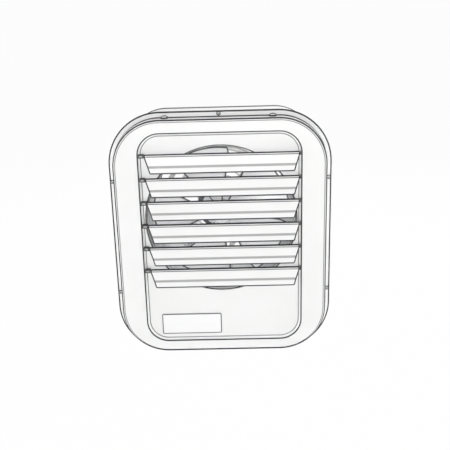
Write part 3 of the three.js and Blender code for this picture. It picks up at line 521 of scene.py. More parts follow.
def bar_profile(radius, start, end, chamfer=0.0):
    """A round bar from its axis out, with chamfered ends."""
    line = Profile(0, start).to(radius - chamfer, start).to(radius, start + chamfer)
    return line.to(radius, end - chamfer).to(radius - chamfer, end).to(0, end)


# %% [markdown]
# ## Shells
# `Shell` gathers grids of points and makes one piece of them. Flat sheet between two outlines, such as the
# face between its rounded edge and the recess, is filled by a triangle fill, which copes with holes.
# Weighted normals then keep those long flat triangles from shading like a pillow.

# %% Shells
WELD = 0.002 * MM  # points closer than this are welded
SHARP = 32  # degrees between faces from which an edge is sharp


def mesh_from(made, name):
    """A mesh with what a bmesh holds, which is freed."""
    mesh = bpy.data.meshes.new(name)
    made.to_mesh(mesh)
    made.free()
    return mesh


class Shell:
    """A mesh in panel millimetres, each point with the strength of its line."""

    def __init__(self):
        self.points = []
        self.lines = []
        self.faces = []

    def grid(self, rows, round_rows=False, round_columns=False):
        """Rows of (x, depth, height, line) points joined by quads."""
        start, across = len(self.points), len(rows[0])
        for row in rows:
            self.points += [point[:3] for point in row]
            self.lines += [point[3] for point in row]
        for i in range(len(rows) - (0 if round_rows else 1)):
            for j in range(across - (0 if round_columns else 1)):
                a, b = start + i * across, start + (i + 1) % len(rows) * across
                k = (j + 1) % across
                self.faces.append((a + j, a + k, b + k, b + j))
        return self

    def sweep(self, profile, path, closed=False):
        """A profile carried round a path about the depth axis."""
        traced = profile.traced(closed)
        rows = [[(x + out * c, depth, height + out * s, profile.strength(at, c, s))
                 for out, depth, at in traced] for x, height, c, s in path]
        return self.grid(rows, round_rows=True, round_columns=closed)

    def upright(self, profile, x, depth, steps=48, closed=False):
        """A profile of (radius, height) turned about a vertical axis."""
        traced = profile.traced(closed)
        rows = [[(x + out * c, depth + out * s, height, profile.strength(at, c, s))
                 for out, height, at in traced] for _, _, c, s in round_path(0, 0, steps)]
        return self.grid(rows, round_rows=True, round_columns=closed)

    def tube(self, centres, radius, sides=16):
        """A round tube with flat ends along a list of places."""
        points = [Vector(centre) for centre in centres]
        angles = [2 * math.pi * j / sides for j in range(sides)]
        across = (points[1] - points[0]).normalized().orthogonal().normalized()
        rows = []
        for i, point in enumerate(points):
            before, after = points[max(i - 1, 0)], points[min(i + 1, len(points) - 1)]
            ahead = (after - before).normalized()
            across = (across - ahead * across.dot(ahead)).normalized()
            beside = ahead.cross(across)
            rows.append([(*(point + (across * math.cos(a) + beside * math.sin(a)) * radius), 0.0)
                         for a in angles])
        first, last = [(*points[0], 0.0)] * sides, [(*points[-1], 0.0)] * sides
        return self.grid([first, *rows, last], round_columns=True)

    def mesh(self, name, flats=()):
        """The shell as a mesh, with flat sheet filled in between its open edges at each depth of flats."""
        made = bmesh.new()
        layer = made.verts.layers.float.new("line")
        for point, line in zip(self.points, self.lines):
            made.verts.new(place(*point))[layer] = line
        made.verts.ensure_lookup_table()
        for face in self.faces:
            made.faces.new([made.verts[i] for i in face])
        bmesh.ops.remove_doubles(made, verts=made.verts, dist=WELD)
        bmesh.ops.dissolve_degenerate(made, edges=made.edges, dist=WELD)
        for depth in flats:
            y = place(0, depth, 0).y
            edges = [edge for edge in made.edges
                     if edge.is_boundary and all(abs(v.co.y - y) < 5 * WELD for v in edge.verts)]
            bmesh.ops.triangle_fill(made, use_beauty=True, use_dissolve=False, edges=edges)
        bmesh.ops.recalc_face_normals(made, faces=made.faces)
        return mesh_from(made, name)


def shade(piece, sharp=SHARP):
    """Smooth shading up to an angle, with normals weighted by the size of the faces."""
    mesh = piece.data
    mesh.polygons.foreach_set("use_smooth", [True] * len(mesh.polygons))
    mesh.set_sharp_from_angle(angle=math.radians(sharp))
    weighted = piece.modifiers.new("weighted_normals", "WEIGHTED_NORMAL")
    weighted.keep_sharp = True


def make_piece(name, mesh, material, body, replaces=(), sharp=SHARP):
    """A shaded piece that rides on its body and stands for CAD nodes."""
    piece = add_object(name, mesh)
    mesh.materials.append(material)
    shade(piece, sharp)
    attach(piece, body)
    if replaces:
        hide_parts(*replaces)
    return piece


def open_edges(piece):
    """How many edges of a piece belong to one face only; a closed shell has none."""
    counts = {}
    for polygon in piece.data.polygons:
        for key in polygon.edge_keys:
            counts[key] = counts.get(key, 0) + 1
    return sum(count != 2 for count in counts.values())


# %% [markdown]
# ## Front panel
# The front is one pressing of 1.2 mm sheet. A profile carried round the rounded rectangle makes the face
# edge, the side wall and the out-turned flange with its back; a second makes the rim of the recess, whose
# floor lies 4.5 mm deep; a third is the collar round the opening. Flat sheet joins them.

# %% Front panel
SHEET = 1.2
PANEL_CORNER, PANEL_EDGE, PANEL_DEPTH = 77.0, 3.5, 23.0
FLANGE, FLANGE_ROOT, CUT_EDGE = 9.2, 0.5, 0.3
RECESS_HALF_X, RECESS_HALF_HEIGHT, RECESS_CORNER, RECESS_DEPTH = 130.0, 179.3, 35.0, 4.5
RECESS_DROP = 0.7  # how far the recess's middle lies below the panel's
ORIFICE_BEND, COLLAR_BACK = 2.2, 17.7
FLAT_LEAD = 2.2  # flat sheet kept in a profile beyond a bend, so that a line can cross it

# Painted shade lines as (width in millimetres, strength), and the angles in degrees of bends at which some of
# them lie
FACE_LINE, FACE_LINE_IN = (1.1, 0.75), 0.5
LOWER_EDGE_LINE, EDGE_SHADE_LINE, CUT_LINE = (4.4, 1.0), (3.7, 1.0), (2.0, 0.95)
TOP_CREASE_SHADE, TOP_CREASE_SHADE_UP, SIDE_CREASE_SHADE = (8.0, 1.0), 3.0, (3.0, 1.0)
RECESS_LINE, FLOOR_LINE, COLLAR_LINE = (2.7, 1.0), (1.3, 0.8), (2.1, 1.0)
LOWER_EDGE_AT, EDGE_SHADE_AT, FLOOR_AT, COLLAR_START_AT, COLLAR_AT = -62, -35, 78, -102, -145

(panel_x, _, panel_height) = span("front_panel")
flange_outer = PANEL_CORNER + FLANGE
corner_x = panel_x[1] - flange_outer
corner_height = panel_height[1] - flange_outer
casing_path = rounded_path(corner_x, corner_height)


def panel_edge_profile():
    """From the face over its edge, down the wall and round the flange, then back inside the sheet."""
    face, root, back = PANEL_CORNER - PANEL_EDGE, PANEL_CORNER + FLANGE_ROOT, PANEL_DEPTH + SHEET
    line = Profile(face - FLAT_LEAD, 0)
    crease = PANEL_DEPTH - FLANGE_ROOT
    line.to(face - FACE_LINE_IN, 0).mark(*FACE_LINE, where=off_bottom).to(face, 0)
    line.arc(face, PANEL_EDGE, PANEL_EDGE, -90, LOWER_EDGE_AT, 4).mark(*LOWER_EDGE_LINE, where=on_bottom)
    line.arc(face, PANEL_EDGE, PANEL_EDGE, LOWER_EDGE_AT, EDGE_SHADE_AT, 3).mark(*EDGE_SHADE_LINE)
    line.arc(face, PANEL_EDGE, PANEL_EDGE, EDGE_SHADE_AT, 0, 4)
    # painted shade: a band on top of the wall before the flange, and in the crease along the sides
    line.to(PANEL_CORNER, crease - TOP_CREASE_SHADE_UP).mark(*TOP_CREASE_SHADE, where=on_top)
    line.to(PANEL_CORNER, crease).mark(*SIDE_CREASE_SHADE, where=off_top)
    line.arc(root, crease, FLANGE_ROOT, 180, 90, 4)
    line.to(flange_outer - CUT_EDGE, PANEL_DEPTH).mark(*EDGE_SHADE_LINE)
    line.to(flange_outer, PANEL_DEPTH + CUT_EDGE).to(flange_outer, back - CUT_EDGE).mark(*CUT_LINE)
    line.to(flange_outer - CUT_EDGE, back)
    line.arc(root, crease, FLANGE_ROOT + SHEET, 90, 180, 4)
    line.arc(face, PANEL_EDGE, PANEL_EDGE - SHEET, 0, -90, 6).to(face - FLAT_LEAD, SHEET)
    return line


def recess_front_profile():
    """From the face over the recess's sharp edge, round the hollow bend and onto the floor."""
    bend = RECESS_CORNER - RECESS_DEPTH
    line = Profile(RECESS_CORNER + FLAT_LEAD, 0)
    line.to(RECESS_CORNER + CUT_EDGE, 0).mark(*RECESS_LINE)
    line.to(RECESS_CORNER, CUT_EDGE).arc(bend, 0, RECESS_DEPTH, 8, FLOOR_AT, 8).mark(*FLOOR_LINE)
    line.arc(bend, 0, RECESS_DEPTH, FLOOR_AT, 90, 2)
    return line


def recess_back_profile():
    """The back of the recess's floor and bend, out to the back of the face."""
    bend, reach = RECESS_CORNER - RECESS_DEPTH, RECESS_DEPTH + SHEET
    top = math.degrees(math.asin(SHEET / reach))
    line = Profile(bend, reach)
    line.arc(bend, 0, reach, 90, top, 8)
    line.to(RECESS_CORNER + SHEET + FLAT_LEAD, SHEET)
    return line


def collar_profile():
    """From the recess's floor round into the opening, back along the collar and round its inside."""
    mouth, bend = ORIFICE + ORIFICE_BEND, RECESS_DEPTH + ORIFICE_BEND
    line = Profile(mouth, RECESS_DEPTH)
    line.arc(mouth, bend, ORIFICE_BEND, -90, COLLAR_START_AT, 2).mark(0.4, 0.45)
    line.arc(mouth, bend, ORIFICE_BEND, COLLAR_START_AT, COLLAR_AT, 4).mark(*COLLAR_LINE)
    line.arc(mouth, bend, ORIFICE_BEND, COLLAR_AT, -180, 4)
    line.to(ORIFICE, COLLAR_BACK).mark(1.2, 0.7).to(ORIFICE + SHEET, COLLAR_BACK)
    line.arc(mouth, bend, ORIFICE_BEND - SHEET, -180, -90, 6)
    return line


recess_path = rounded_path(
    RECESS_HALF_X - RECESS_CORNER, RECESS_HALF_HEIGHT - RECESS_CORNER, 0.0, -RECESS_DROP)
panel_shell = Shell().sweep(panel_edge_profile(), casing_path)
panel_shell.sweep(recess_front_profile(), recess_path)
panel_shell.sweep(recess_back_profile(), recess_path)
panel_shell.sweep(collar_profile(), round_path(0, AXIS_HEIGHT))
panel_mesh = panel_shell.mesh("front_panel_skin", flats=(0, SHEET, RECESS_DEPTH, RECESS_DEPTH + SHEET))
front_panel = make_piece(
    "front_panel_skin", panel_mesh, casing_paint, "casing", ["front_panel"])
print("front panel:", len(panel_mesh.polygons), "faces,", open_edges(front_panel), "open edges")

# %% [markdown]
# ## Rear case
# The rear case is a second tub behind the front one, a little narrower, with its own flange screwed to the
# panel's. A low swage runs round it in front of the back edge, which stiffens the sheet, and shade is painted
# on its top as a dark band. The back has the round intake and a hole for the supply cable, and the flat top
# has two bores for the hanger, cut with a boolean because they cross the swept sheet.

# %% Rear case
CASE_EDGE, CASE_INSET = 4.0, 6.3
ENTRY, ENTRY_X, ENTRY_HEIGHT = 11.0, -95.0, -150.0
SWAGE_RISE, SWAGE_WIDTH, SWAGE_GAP = 0.35, 11.5, 0.6  # the gap lies between the back edge and the swage
SWAGE_FRONT, SWAGE_BACK = 1.0, 1.2  # how long its slopes are
# a band of painted shade on the swage's top, and lines of painted shade round the holes' edges
SWAGE_TOP_SHADE = (SWAGE_WIDTH + 1.0, 1.0)
HOLE_LINE = (1.4, 0.85)
HANGER_HOLE = 4.3

(_, case_depth, case_height) = span("rear_case")
case_front, case_back = case_depth
case_inner_back = case_back - SHEET
case_corner = PANEL_CORNER - CASE_INSET


def case_edge_profile():
    """From the back over its edge, forward along the wall, round the flange and back inside."""
    back, root, flange_back = case_corner - CASE_EDGE, case_corner + FLANGE_ROOT, case_front + SHEET
    # the back edge, the swage and the flange's edges carry dark lines of painted shade
    line = Profile(back - FLAT_LEAD, case_back)
    line.to(back, case_back).mark(0.8, 0.3)
    line.arc(back, case_back - CASE_EDGE, CASE_EDGE, 90, 45, 5).mark(2.0, 0.92)
    line.arc(back, case_back - CASE_EDGE, CASE_EDGE, 45, 0, 5)
    swage, raised = case_back - CASE_EDGE - SWAGE_GAP, case_corner + SWAGE_RISE
    line.to(case_corner, swage).to(raised, swage - SWAGE_BACK)
    line.to(raised, swage - SWAGE_WIDTH / 2).mark(*SWAGE_TOP_SHADE, where=on_top)
    line.to(raised, swage - SWAGE_WIDTH + SWAGE_FRONT)
    line.to(case_corner, swage - SWAGE_WIDTH).mark(1.0, 0.5)
    line.arc(root, flange_back + FLANGE_ROOT, FLANGE_ROOT, 180, 225, 3).mark(1.3, 0.85)
    line.arc(root, flange_back + FLANGE_ROOT, FLANGE_ROOT, 225, 270, 3)
    line.to(flange_outer - CUT_EDGE, flange_back).mark(*CUT_LINE)
    line.to(flange_outer, flange_back - CUT_EDGE).to(flange_outer, case_front + CUT_EDGE)
    line.to(flange_outer - CUT_EDGE, case_front).mark(*CUT_LINE).to(case_corner - SHEET, case_front)
    line.arc(back, case_back - CASE_EDGE, CASE_EDGE - SHEET, 0, 90, 6)
    line.to(back - FLAT_LEAD, case_inner_back)
    return line


def hole_profile(radius):
    """The wall of a pierced hole with its edges broken."""
    line = Profile(radius + FLAT_LEAD, case_back)
    line.to(radius + CUT_EDGE, case_back).mark(*HOLE_LINE).to(radius, case_back - CUT_EDGE)
    line.to(radius, case_inner_back + CUT_EDGE).to(radius + CUT_EDGE, case_inner_back).mark(*HOLE_LINE)
    line.to(radius + FLAT_LEAD, case_inner_back)
    return line


case_shell = Shell().sweep(case_edge_profile(), casing_path)
case_shell.sweep(hole_profile(INTAKE), round_path(0, AXIS_HEIGHT))
case_shell.sweep(hole_profile(ENTRY), round_path(ENTRY_X, ENTRY_HEIGHT, 48))
case_mesh = case_shell.mesh("rear_case_skin", flats=(case_back, case_inner_back))
rear_case = make_piece("rear_case_skin", case_mesh, casing_paint, "casing", ["rear_case"])


def carry_lines(old, new):
    """Gives each point of a cut mesh the line strength of the nearest point it had before the cut."""
    if "line" in new.attributes:
        new.attributes.remove(new.attributes["line"])
    tree = KDTree(len(old.vertices))
    for i, vertex in enumerate(old.vertices):
        tree.insert(vertex.co, i)
    tree.balance()
    values = old.attributes["line"].data
    nearest = [values[tree.find(vertex.co)[1]].value for vertex in new.vertices]
    new.attributes.new("line", "FLOAT", "POINT").data.foreach_set("value", nearest)


def cut_with(piece, cutter):
    """Applies a boolean difference to a piece's mesh, removes the cutter and shades the cut piece again."""
    piece.modifiers.clear()
    old = piece.data
    modifier = piece.modifiers.new("cut", "BOOLEAN")
    modifier.object = cutter
    modifier.solver = "EXACT"
    bpy.context.view_layer.update()
    evaluated = piece.evaluated_get(bpy.context.evaluated_depsgraph_get())
    cut = bpy.data.meshes.new_from_object(evaluated)
    piece.modifiers.clear()
    carry_lines(old, cut)
    piece.data = cut
    bpy.data.objects.remove(cutter)
    shade(piece)


def upright_drill(radius, x, depth, low, high):
    """A plain cylinder to drill a hole down through the top."""
    return add_object("drill", Shell().upright(bar_profile(radius, low, high), x, depth).mesh("drill"))


for side in ("left", "right"):
    (hanger_x, hanger_depth, hanger_height) = span(f"hanger_insert_{side}")
    cut_with(rear_case, upright_drill(
        HANGER_HOLE, middle_of(hanger_x), middle_of(hanger_depth), hanger_height[1], case_height[1]))
print("rear case:", len(rear_case.data.polygons), "faces,", open_edges(rear_case), "open edges")

# %% [markdown]
# ## Nameplate
# A thin foil-faced plate with rounded corners lies on the recess floor below the louvres. It is blank. Its
# cut edge is painted as a fine dark frame of shade.

# %% Nameplate
PLATE_CORNER, PLATE_LEAD, PLATE_BEVEL = 2.5, 2.4, 0.15
# the plate's edge is a dark line of painted shade
PLATE_LINE = (2.6, 0.95)

(plate_x, plate_depth, plate_height) = span("nameplate")
plate_path = rounded_path(
    (plate_x[1] - plate_x[0]) / 2 - PLATE_CORNER, (plate_height[1] - plate_height[0]) / 2 - PLATE_CORNER,
    middle_of(plate_x), middle_of(plate_height))
plate_front, plate_back = plate_depth
plate_line = Profile(PLATE_CORNER - PLATE_LEAD, plate_front)
plate_line.to(PLATE_CORNER - PLATE_BEVEL, plate_front).mark(*PLATE_LINE)
plate_line.to(PLATE_CORNER, plate_front + PLATE_BEVEL)
plate_line.to(PLATE_CORNER, plate_back).to(PLATE_CORNER - PLATE_LEAD, plate_back)
plate_mesh = Shell().sweep(plate_line, plate_path).mesh("nameplate_skin", flats=plate_depth)
make_piece("nameplate_skin", plate_mesh, nameplate_foil, "casing", ["nameplate"])
print("nameplate:", round(plate_x[1] - plate_x[0], 1), "x", round(plate_height[1] - plate_height[0], 1), "mm")

# %% [markdown]
# ## Louvres
# Each blade is a bent strip: its top is rolled round the pivot rod, it hangs almost straight, then leans
# out below a soft crease. Its ends slope in and its lower corners are round. The strip's middle line is
# drawn once and thickened to both sides; the ends follow from the height of each point of that line.

# %% Louvres
LOUVRES = 6
BLADE_SHEET, HEM, BLADE_UPPER, BLADE_LOWER = 0.9, 2.35, 17.2, 10.5
BLADE_TILT, BLADE_CREASE, CREASE_RADIUS = 8.0, 18.0, 4.45
ROLL_END = -110.0
BLADE_LEFT, BLADE_RIGHT, END_INSET, END_CORNER = -120.0, 127.5, 8.6, 2.0
HEM_SEAM = 1.3  # how far below the rod the roll runs out into the flat blade
HEM_CORNER = 1.8  # how far the hem's right end is rounded off
# painted shade lines on each blade: under the hem's roll, at its seam, a soft band in the crease, along the
# lower edge and at both ends
HEM_LINE, HEM_AT, SEAM_LINE = (4.2, 1.0), 112, (1.3, 0.85)
CREASE_LINE, CREASE_SOFT, LOWER_LINE, END_LINE = (3.2, 0.55), 0.8, (3.2, 1.0), 1.9
LOWER_STEPS = (8.9, 2.2, 1.6, 1.1, 0.7, 0.4, 0.2, 0.08, 0.0)  # distances to the blade's lower edge


def blade_line():
    """The middle of the sheet as (back, up) from the pivot, before the blade is tilted."""
    line = Profile(HEM * math.cos(math.radians(ROLL_END)), HEM * math.sin(math.radians(ROLL_END)))
    line.arc(0, 0, HEM, ROLL_END, HEM_AT, 17).mark(*HEM_LINE).arc(0, 0, HEM, HEM_AT, 180, 8)
    line.to(-HEM, -HEM_SEAM).mark(*SEAM_LINE)
    line.to(-HEM, -BLADE_UPPER + 1).to(-HEM, -BLADE_UPPER)
    centre, half_crease = -HEM - CREASE_RADIUS, -BLADE_CREASE / 2
    line.arc(centre, -BLADE_UPPER, CREASE_RADIUS, 0, half_crease, 3).mark(*CREASE_LINE, soft=CREASE_SOFT)
    line.arc(centre, -BLADE_UPPER, CREASE_RADIUS, half_crease, -BLADE_CREASE, 3)
    back, up = line.points[-1]
    slant = math.radians(BLADE_CREASE)
    for left in LOWER_STEPS:
        gone = BLADE_LOWER - left
        line.to(back - gone * math.sin(slant), up - gone * math.cos(slant))
    return line.mark(*LOWER_LINE)


def rounded_off(beyond, corner):
    """How far a round corner has drawn in, a distance beyond where it starts."""
    share = limited(beyond / corner)
    return corner * (1 - math.sqrt(1 - share * share))


def end_insets(up, lowest):
    """How far the left and right ends lie inside the blade's full width at a height."""
    start = -HEM - BLADE_SHEET / 2
    slope = END_INSET * limited((start - up) / (start - lowest))
    left = slope + rounded_off(END_CORNER - (up - lowest), END_CORNER)
    return left, left + rounded_off(up + HEM_CORNER - HEM, HEM_CORNER)


def tilted(back, up):
    """A place of the blade's section once the blade hangs at its tilt."""
    cos, sin = math.cos(math.radians(BLADE_TILT)), math.sin(math.radians(BLADE_TILT))
    return back * cos + up * sin, up * cos - back * sin


def blade_mesh(name, pivot_depth, pivot_height):
    """A louvre's blade: its middle line thickened to both sides, and closed at both ends."""
    middle = blade_line()
    traced = [(back, up, middle.strength(at)) for back, up, at in middle.traced()]
    lowest = min(tilted(back, up)[1] for back, up, _ in traced)
    sides = {1: [], -1: []}
    for i, (back, up, line) in enumerate(traced):
        before, after = traced[max(i - 1, 0)], traced[min(i + 1, len(traced) - 1)]
        along = Vector((after[0] - before[0], after[1] - before[1])).normalized()
        left, right = end_insets(tilted(back, up)[1], lowest)
        x0, x1 = BLADE_LEFT + left, BLADE_RIGHT - right
        for side in sides:
            half = side * BLADE_SHEET / 2
            depth, height = tilted(back + half * along.y, up - half * along.x)
            # both ends of the blade are painted dark as lines of shade
            columns = [(x0, 1.0), (x0 + END_LINE, 1.0), (x0 + END_LINE + SOFT, line), (0.0, line),
                       (x1 - END_LINE - SOFT, line), (x1 - END_LINE, 1.0), (x1, 1.0)]
            sides[side].append([(x, pivot_depth + depth, pivot_height + height, max(line, value))
                                for x, value in columns])
    shell = Shell()
    shell.grid([*sides[1], *reversed(sides[-1])], round_rows=True)
    for column in (0, -1):
        shell.grid([[front[column], back[column]] for front, back in zip(sides[1], sides[-1])])
    return shell.mesh(name)


blades = []
for number in range(1, LOUVRES + 1):
    (_, rod_depth, rod_height) = span(f"louvre_rod_{number}")
    name = f"louvre_{number}_blade"
    mesh = blade_mesh(name, middle_of(rod_depth), middle_of(rod_height))
    blades.append(make_piece(
        name, mesh, casing_paint, f"louvre_body_{number}", [f"louvre_{number}"]))
print("louvres:", len(blades), "with", open_edges(blades[0]), "open edges in the first")

# %% [markdown]
# ## Rods and bushes
# A steel rod runs through each hem into a grey nylon bush at either end. The rods are plain bar with
# chamfered ends. The bushes keep their solids from the frame, which already have the right shape. Their
# edges get painted shade as dark lines, which a shader draws: it measures how far a place lies from the
# middle of its bush, and finds that middle again at every louvre by the part of the height left over.

# %% Rods and bushes
ROD_CHAMFER = 0.3
BUSH_GREY, BUSH_DARK, BUSH_SHADE_EDGE = (0.36, 0.36, 0.355), (0.31, 0.31, 0.305), 1.3


def bush_nylon(side):
    """Grey nylon with painted shade as a dark edge all round each of the bushes on one side."""
    (x, _, first), (_, _, second) = span(f"louvre_bush_{side}_1"), span(f"louvre_bush_{side}_2")
    pitch = abs(middle_of(second) - middle_of(first))
    finish = Finish(f"bush_nylon_{side}", BUSH_GREY, 0.55)
    place_x, _, place_z = (finish.node("ShaderNodeSeparateXYZ", {}, {0: finish.places()}, output=axis)
                           for axis in range(3))
    aside = (place_x / MM - middle_of(x)).math("ABSOLUTE")
    turns = (place_z / MM - (MIDDLE_Z / MM + middle_of(first))) / pitch + 0.5
    above = (turns.math("FRACT") - 0.5).math("ABSOLUTE") * pitch
    half_x, half_height = (x[1] - x[0]) / 2, (first[1] - first[0]) / 2
    # the mask of painted shade along the bushes' edges
    edge = aside.rises(half_x - BUSH_SHADE_EDGE - SOFT, half_x - BUSH_SHADE_EDGE).math(
        "MAXIMUM", above.rises(half_height - BUSH_SHADE_EDGE - SOFT, half_height - BUSH_SHADE_EDGE))
    clouds = finish.noise(4.8, detail=3)
    nylon = finish.mix(BUSH_GREY, BUSH_DARK, clouds.rises(0.3, 0.7))
    finish.put("Base Color", finish.mix(nylon, PAINTED_SHADE_GREY, edge))
    finish.put("Roughness", 0.49 + clouds * 0.12)
    finish.bump(finish.noise(0.4, detail=2), 0.02)
    return finish.material


def cross_bar(x0, x1, radius, depth, height, steps=24):
    """A round bar across the heater with chamfered ends."""
    traced = bar_profile(radius, x0, x1, ROD_CHAMFER).traced()
    rows = [[(x, depth + out * c, height + out * s, 0.0) for out, x, _ in traced]
            for _, _, c, s in round_path(0, 0, steps)]
    return Shell().grid(rows, round_rows=True)


def dress(node, material, bevel=0.25, edge=None):
    """Keeps a CAD node's shape, with a finish and finely bevelled edges, which can have their own finish, a
    dark one painting shade along them.
    """
    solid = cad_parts[node]
    solid.data.materials.clear()
    solid.data.materials.append(material)
    if edge:
        solid.data.materials.append(edge)
    softened = solid.modifiers.new("bevel", "BEVEL")
    softened.width = bevel * MM
    softened.segments = 2
    softened.limit_method = "ANGLE"
    softened.angle_limit = math.radians(40)
    softened.material = 1 if edge else -1


bush_finishes = {side: bush_nylon(side) for side in ("left", "right")}
for number in range(1, LOUVRES + 1):
    rod = f"louvre_rod_{number}"
    (rod_x, rod_depth, rod_height) = span(rod)
    radius = (rod_height[1] - rod_height[0]) / 2
    bar = cross_bar(*rod_x, radius, middle_of(rod_depth), middle_of(rod_height))
    make_piece(f"{rod}_bar", bar.mesh(f"{rod}_bar"), zinc_plate, f"louvre_body_{number}", [rod])
    for side, finish in bush_finishes.items():
        dress(f"louvre_bush_{side}_{number}", finish)
print("rods and bushes on", LOUVRES, "louvres")

# %% [markdown]
# ## Screws, bolts and inserts
# Pan-head screws hold the two flanges together. Each head is a shallow dome with a cross recess, cut by a
# tapered cross with a boolean, because the recess is what the eye looks for on a screw. Two larger domed
# bolts stand on the top wall, and two flanged inserts in the top of the rear case take the hanger.

# %% Screws and bolts
# a screw head's rim gets a band of painted shade, and its cross recess is painted dark as shade
SCREW_HEAD, SCREW_DOME, SCREW_SHANK, SCREW_RIM_SHADE = 3.5, 2.4, 1.8, 1.1
CROSS_SPAN, CROSS_WIDTH, CROSS_DEEP, CROSS_SEAT = 3.9, 0.85, 1.5, 0.2
CROSS_FOOT, CROSS_FOOT_WIDTH = 1.6, 0.6  # its span and width at the bottom
DOME_STEPS, RIM_SHARE = 9, 0.22  # how much of a head's height is its upright rim


def edge_on(cos, sin):
    """How near a direction is to the left or the right of a part, where its outline lies from the front and
    shade is painted.
    """
    return limited((0.75 - abs(sin)) / 0.15)


def domed_head(radius, height, shank, length, sign=1.0, shade_crown=0.0, rim_shade=1.3):
    """A profile of a round-headed screw, seated at 0; sign 1 has the head towards smaller along-values.

    A shade crown is the radius of a top painted dark as shade, and a head that has one is painted dark at
    both sides too."""
    profile = Profile(0, -sign * height)
    if shade_crown:
        profile.mark(2 * shade_crown, 1.0)
    rim = height * RIM_SHARE
    for i in range(1, DOME_STEPS + 1):
        turn = math.radians(90 * i / DOME_STEPS)
        profile.to(radius * math.sin(turn), -sign * (rim + (height - rim) * math.cos(turn)))
    if shade_crown:
        profile.mark(2 * profile.distances()[-1], 1.0, where=edge_on)
    profile.mark(rim_shade, 1.0).to(radius, 0).mark(1.2, 1.0).to(shank, 0)
    profile.to(shank, sign * length).to(0, sign * length)
    return profile


def shifted(profile, along):
    """The profile, moved along its axis."""
    profile.points = [(out, at + along) for out, at in profile.points]
    return profile


def cross_outline(reach, half_wide, turn):
    """The twelve corners of a cross, counterclockwise, as (x, height)."""
    corners = []
    for quarter in range(4):
        angle = math.radians(turn + 90 * quarter)
        for along, across in ((half_wide, -half_wide), (reach, -half_wide), (reach, half_wide)):
            corners.append((along * math.cos(angle) - across * math.sin(angle),
                            along * math.sin(angle) + across * math.cos(angle)))
    return corners


def cross_cutter(x, depth, height, turn):
    """A tapered cross whose mouth is at a depth."""
    made = bmesh.new()
    ends = ((-CROSS_DEEP, CROSS_SPAN, CROSS_WIDTH), (CROSS_DEEP, CROSS_FOOT, CROSS_FOOT_WIDTH))
    mouth, bottom = ([made.verts.new(place(x + across, depth + deep, height + up))
                      for across, up in cross_outline(reach / 2, wide / 2, turn)]
                     for deep, reach, wide in ends)
    made.faces.new(mouth)
    made.faces.new(bottom)
    for i, corner in enumerate(mouth):
        k = (i + 1) % len(mouth)
        made.faces.new([corner, mouth[k], bottom[k], bottom[i]])
    bmesh.ops.recalc_face_normals(made, faces=made.faces)
    return add_object("cross", mesh_from(made, "cross"))


def paint_screw_shade(piece, x, height, turn):
    """Writes the painted shade of a screw's head anew after the cut: a dark rim and a dark cross recess."""
    middle = place(x, 0, height)
    slant = math.radians(turn)
    strengths = []
    for vertex in piece.data.vertices:
        across, up = (vertex.co.x - middle.x) / MM, (vertex.co.z - middle.z) / MM
        along = across * math.cos(slant) + up * math.sin(slant)
        beside = up * math.cos(slant) - across * math.sin(slant)
        in_arm = min(abs(along), abs(beside)) < CROSS_WIDTH / 2 + NEAR
        in_cross = in_arm and max(abs(along), abs(beside)) < CROSS_SPAN / 2 + NEAR
        from_rim = SCREW_HEAD - math.hypot(across, up)
        strengths.append(1.0 if in_cross else limited((SCREW_RIM_SHADE + SOFT - from_rim) / SOFT))
    piece.data.attributes["line"].data.foreach_set("value", strengths)


SCREW_TURNS = {
    "top": 20, "bottom": 64, "left_upper": 38, "left_lower": 75, "right_upper": 8, "right_lower": 51,
}  # degrees that each cross happens to stand at
for where, turn in SCREW_TURNS.items():
    node = f"flange_screw_{where}"
    (x, depth, height) = span(node)
    seat = depth[0] + SCREW_DOME
    profile = shifted(domed_head(SCREW_HEAD, SCREW_DOME, SCREW_SHANK, depth[1] - seat), seat)
    mesh = Shell().sweep(profile, path_round(node, 40)).mesh(f"{node}_head")
    screw = make_piece(f"{node}_head", mesh, zinc_plate, "casing", [node])
    cut_with(screw, cross_cutter(middle_of(x), depth[0] + CROSS_SEAT, middle_of(height), turn))
    paint_screw_shade(screw, middle_of(x), middle_of(height), turn)
print("screws:", len(SCREW_TURNS), "with", len(screw.data.polygons), "faces each")

# a bolt head's top and rim are painted dark as shade, and its sides too
BOLT_HEAD, BOLT_DOME, BOLT_SHANK, BOLT_SHADE_CROWN, BOLT_RIM_SHADE = 6.2, 4.6, 3.0, 4.3, 3.0
INSERT_BORE, INSERT_FLANGE, INSERT_BODY = 4.0, 9.0, 6.5
INSERT_MOUTH, INSERT_TAPER = 0.8, 0.5
for side in ("left", "right"):
    node = f"top_bolt_{side}"
    (x, depth, height) = span(node)
    seat = height[1] - BOLT_DOME
    profile = shifted(domed_head(
        BOLT_HEAD, BOLT_DOME, BOLT_SHANK, seat - height[0], -1.0, BOLT_SHADE_CROWN, BOLT_RIM_SHADE), seat)
    mesh = Shell().upright(profile, middle_of(x), middle_of(depth)).mesh(f"{node}_head")
    make_piece(f"{node}_head", mesh, casing_paint, "casing", [node])

    node = f"hanger_insert_{side}"
    (x, depth, (low, top)) = span(node)
    # the insert's mouth and flange edge carry lines of painted shade
    profile = Profile(INSERT_BORE, low).to(INSERT_BORE, top - INSERT_MOUTH)
    profile.to(INSERT_BORE + INSERT_MOUTH, top).mark(0.8, 0.5)
    profile.to(INSERT_FLANGE - CUT_EDGE, top).mark(0.8, 0.7).to(INSERT_FLANGE, top - CUT_EDGE)
    profile.to(INSERT_FLANGE, top - SHEET).to(INSERT_BODY, top - SHEET).to(INSERT_BODY, low + INSERT_TAPER)
    profile.to(INSERT_BODY - INSERT_TAPER, low).to(INSERT_BORE, low)
    mesh = Shell().upright(profile, middle_of(x), middle_of(depth), closed=True).mesh(f"{node}_turned")
    make_piece(f"{node}_turned", mesh, zinc_plate, "casing", [node])
print("top bolts and hanger inserts: 2 of each")

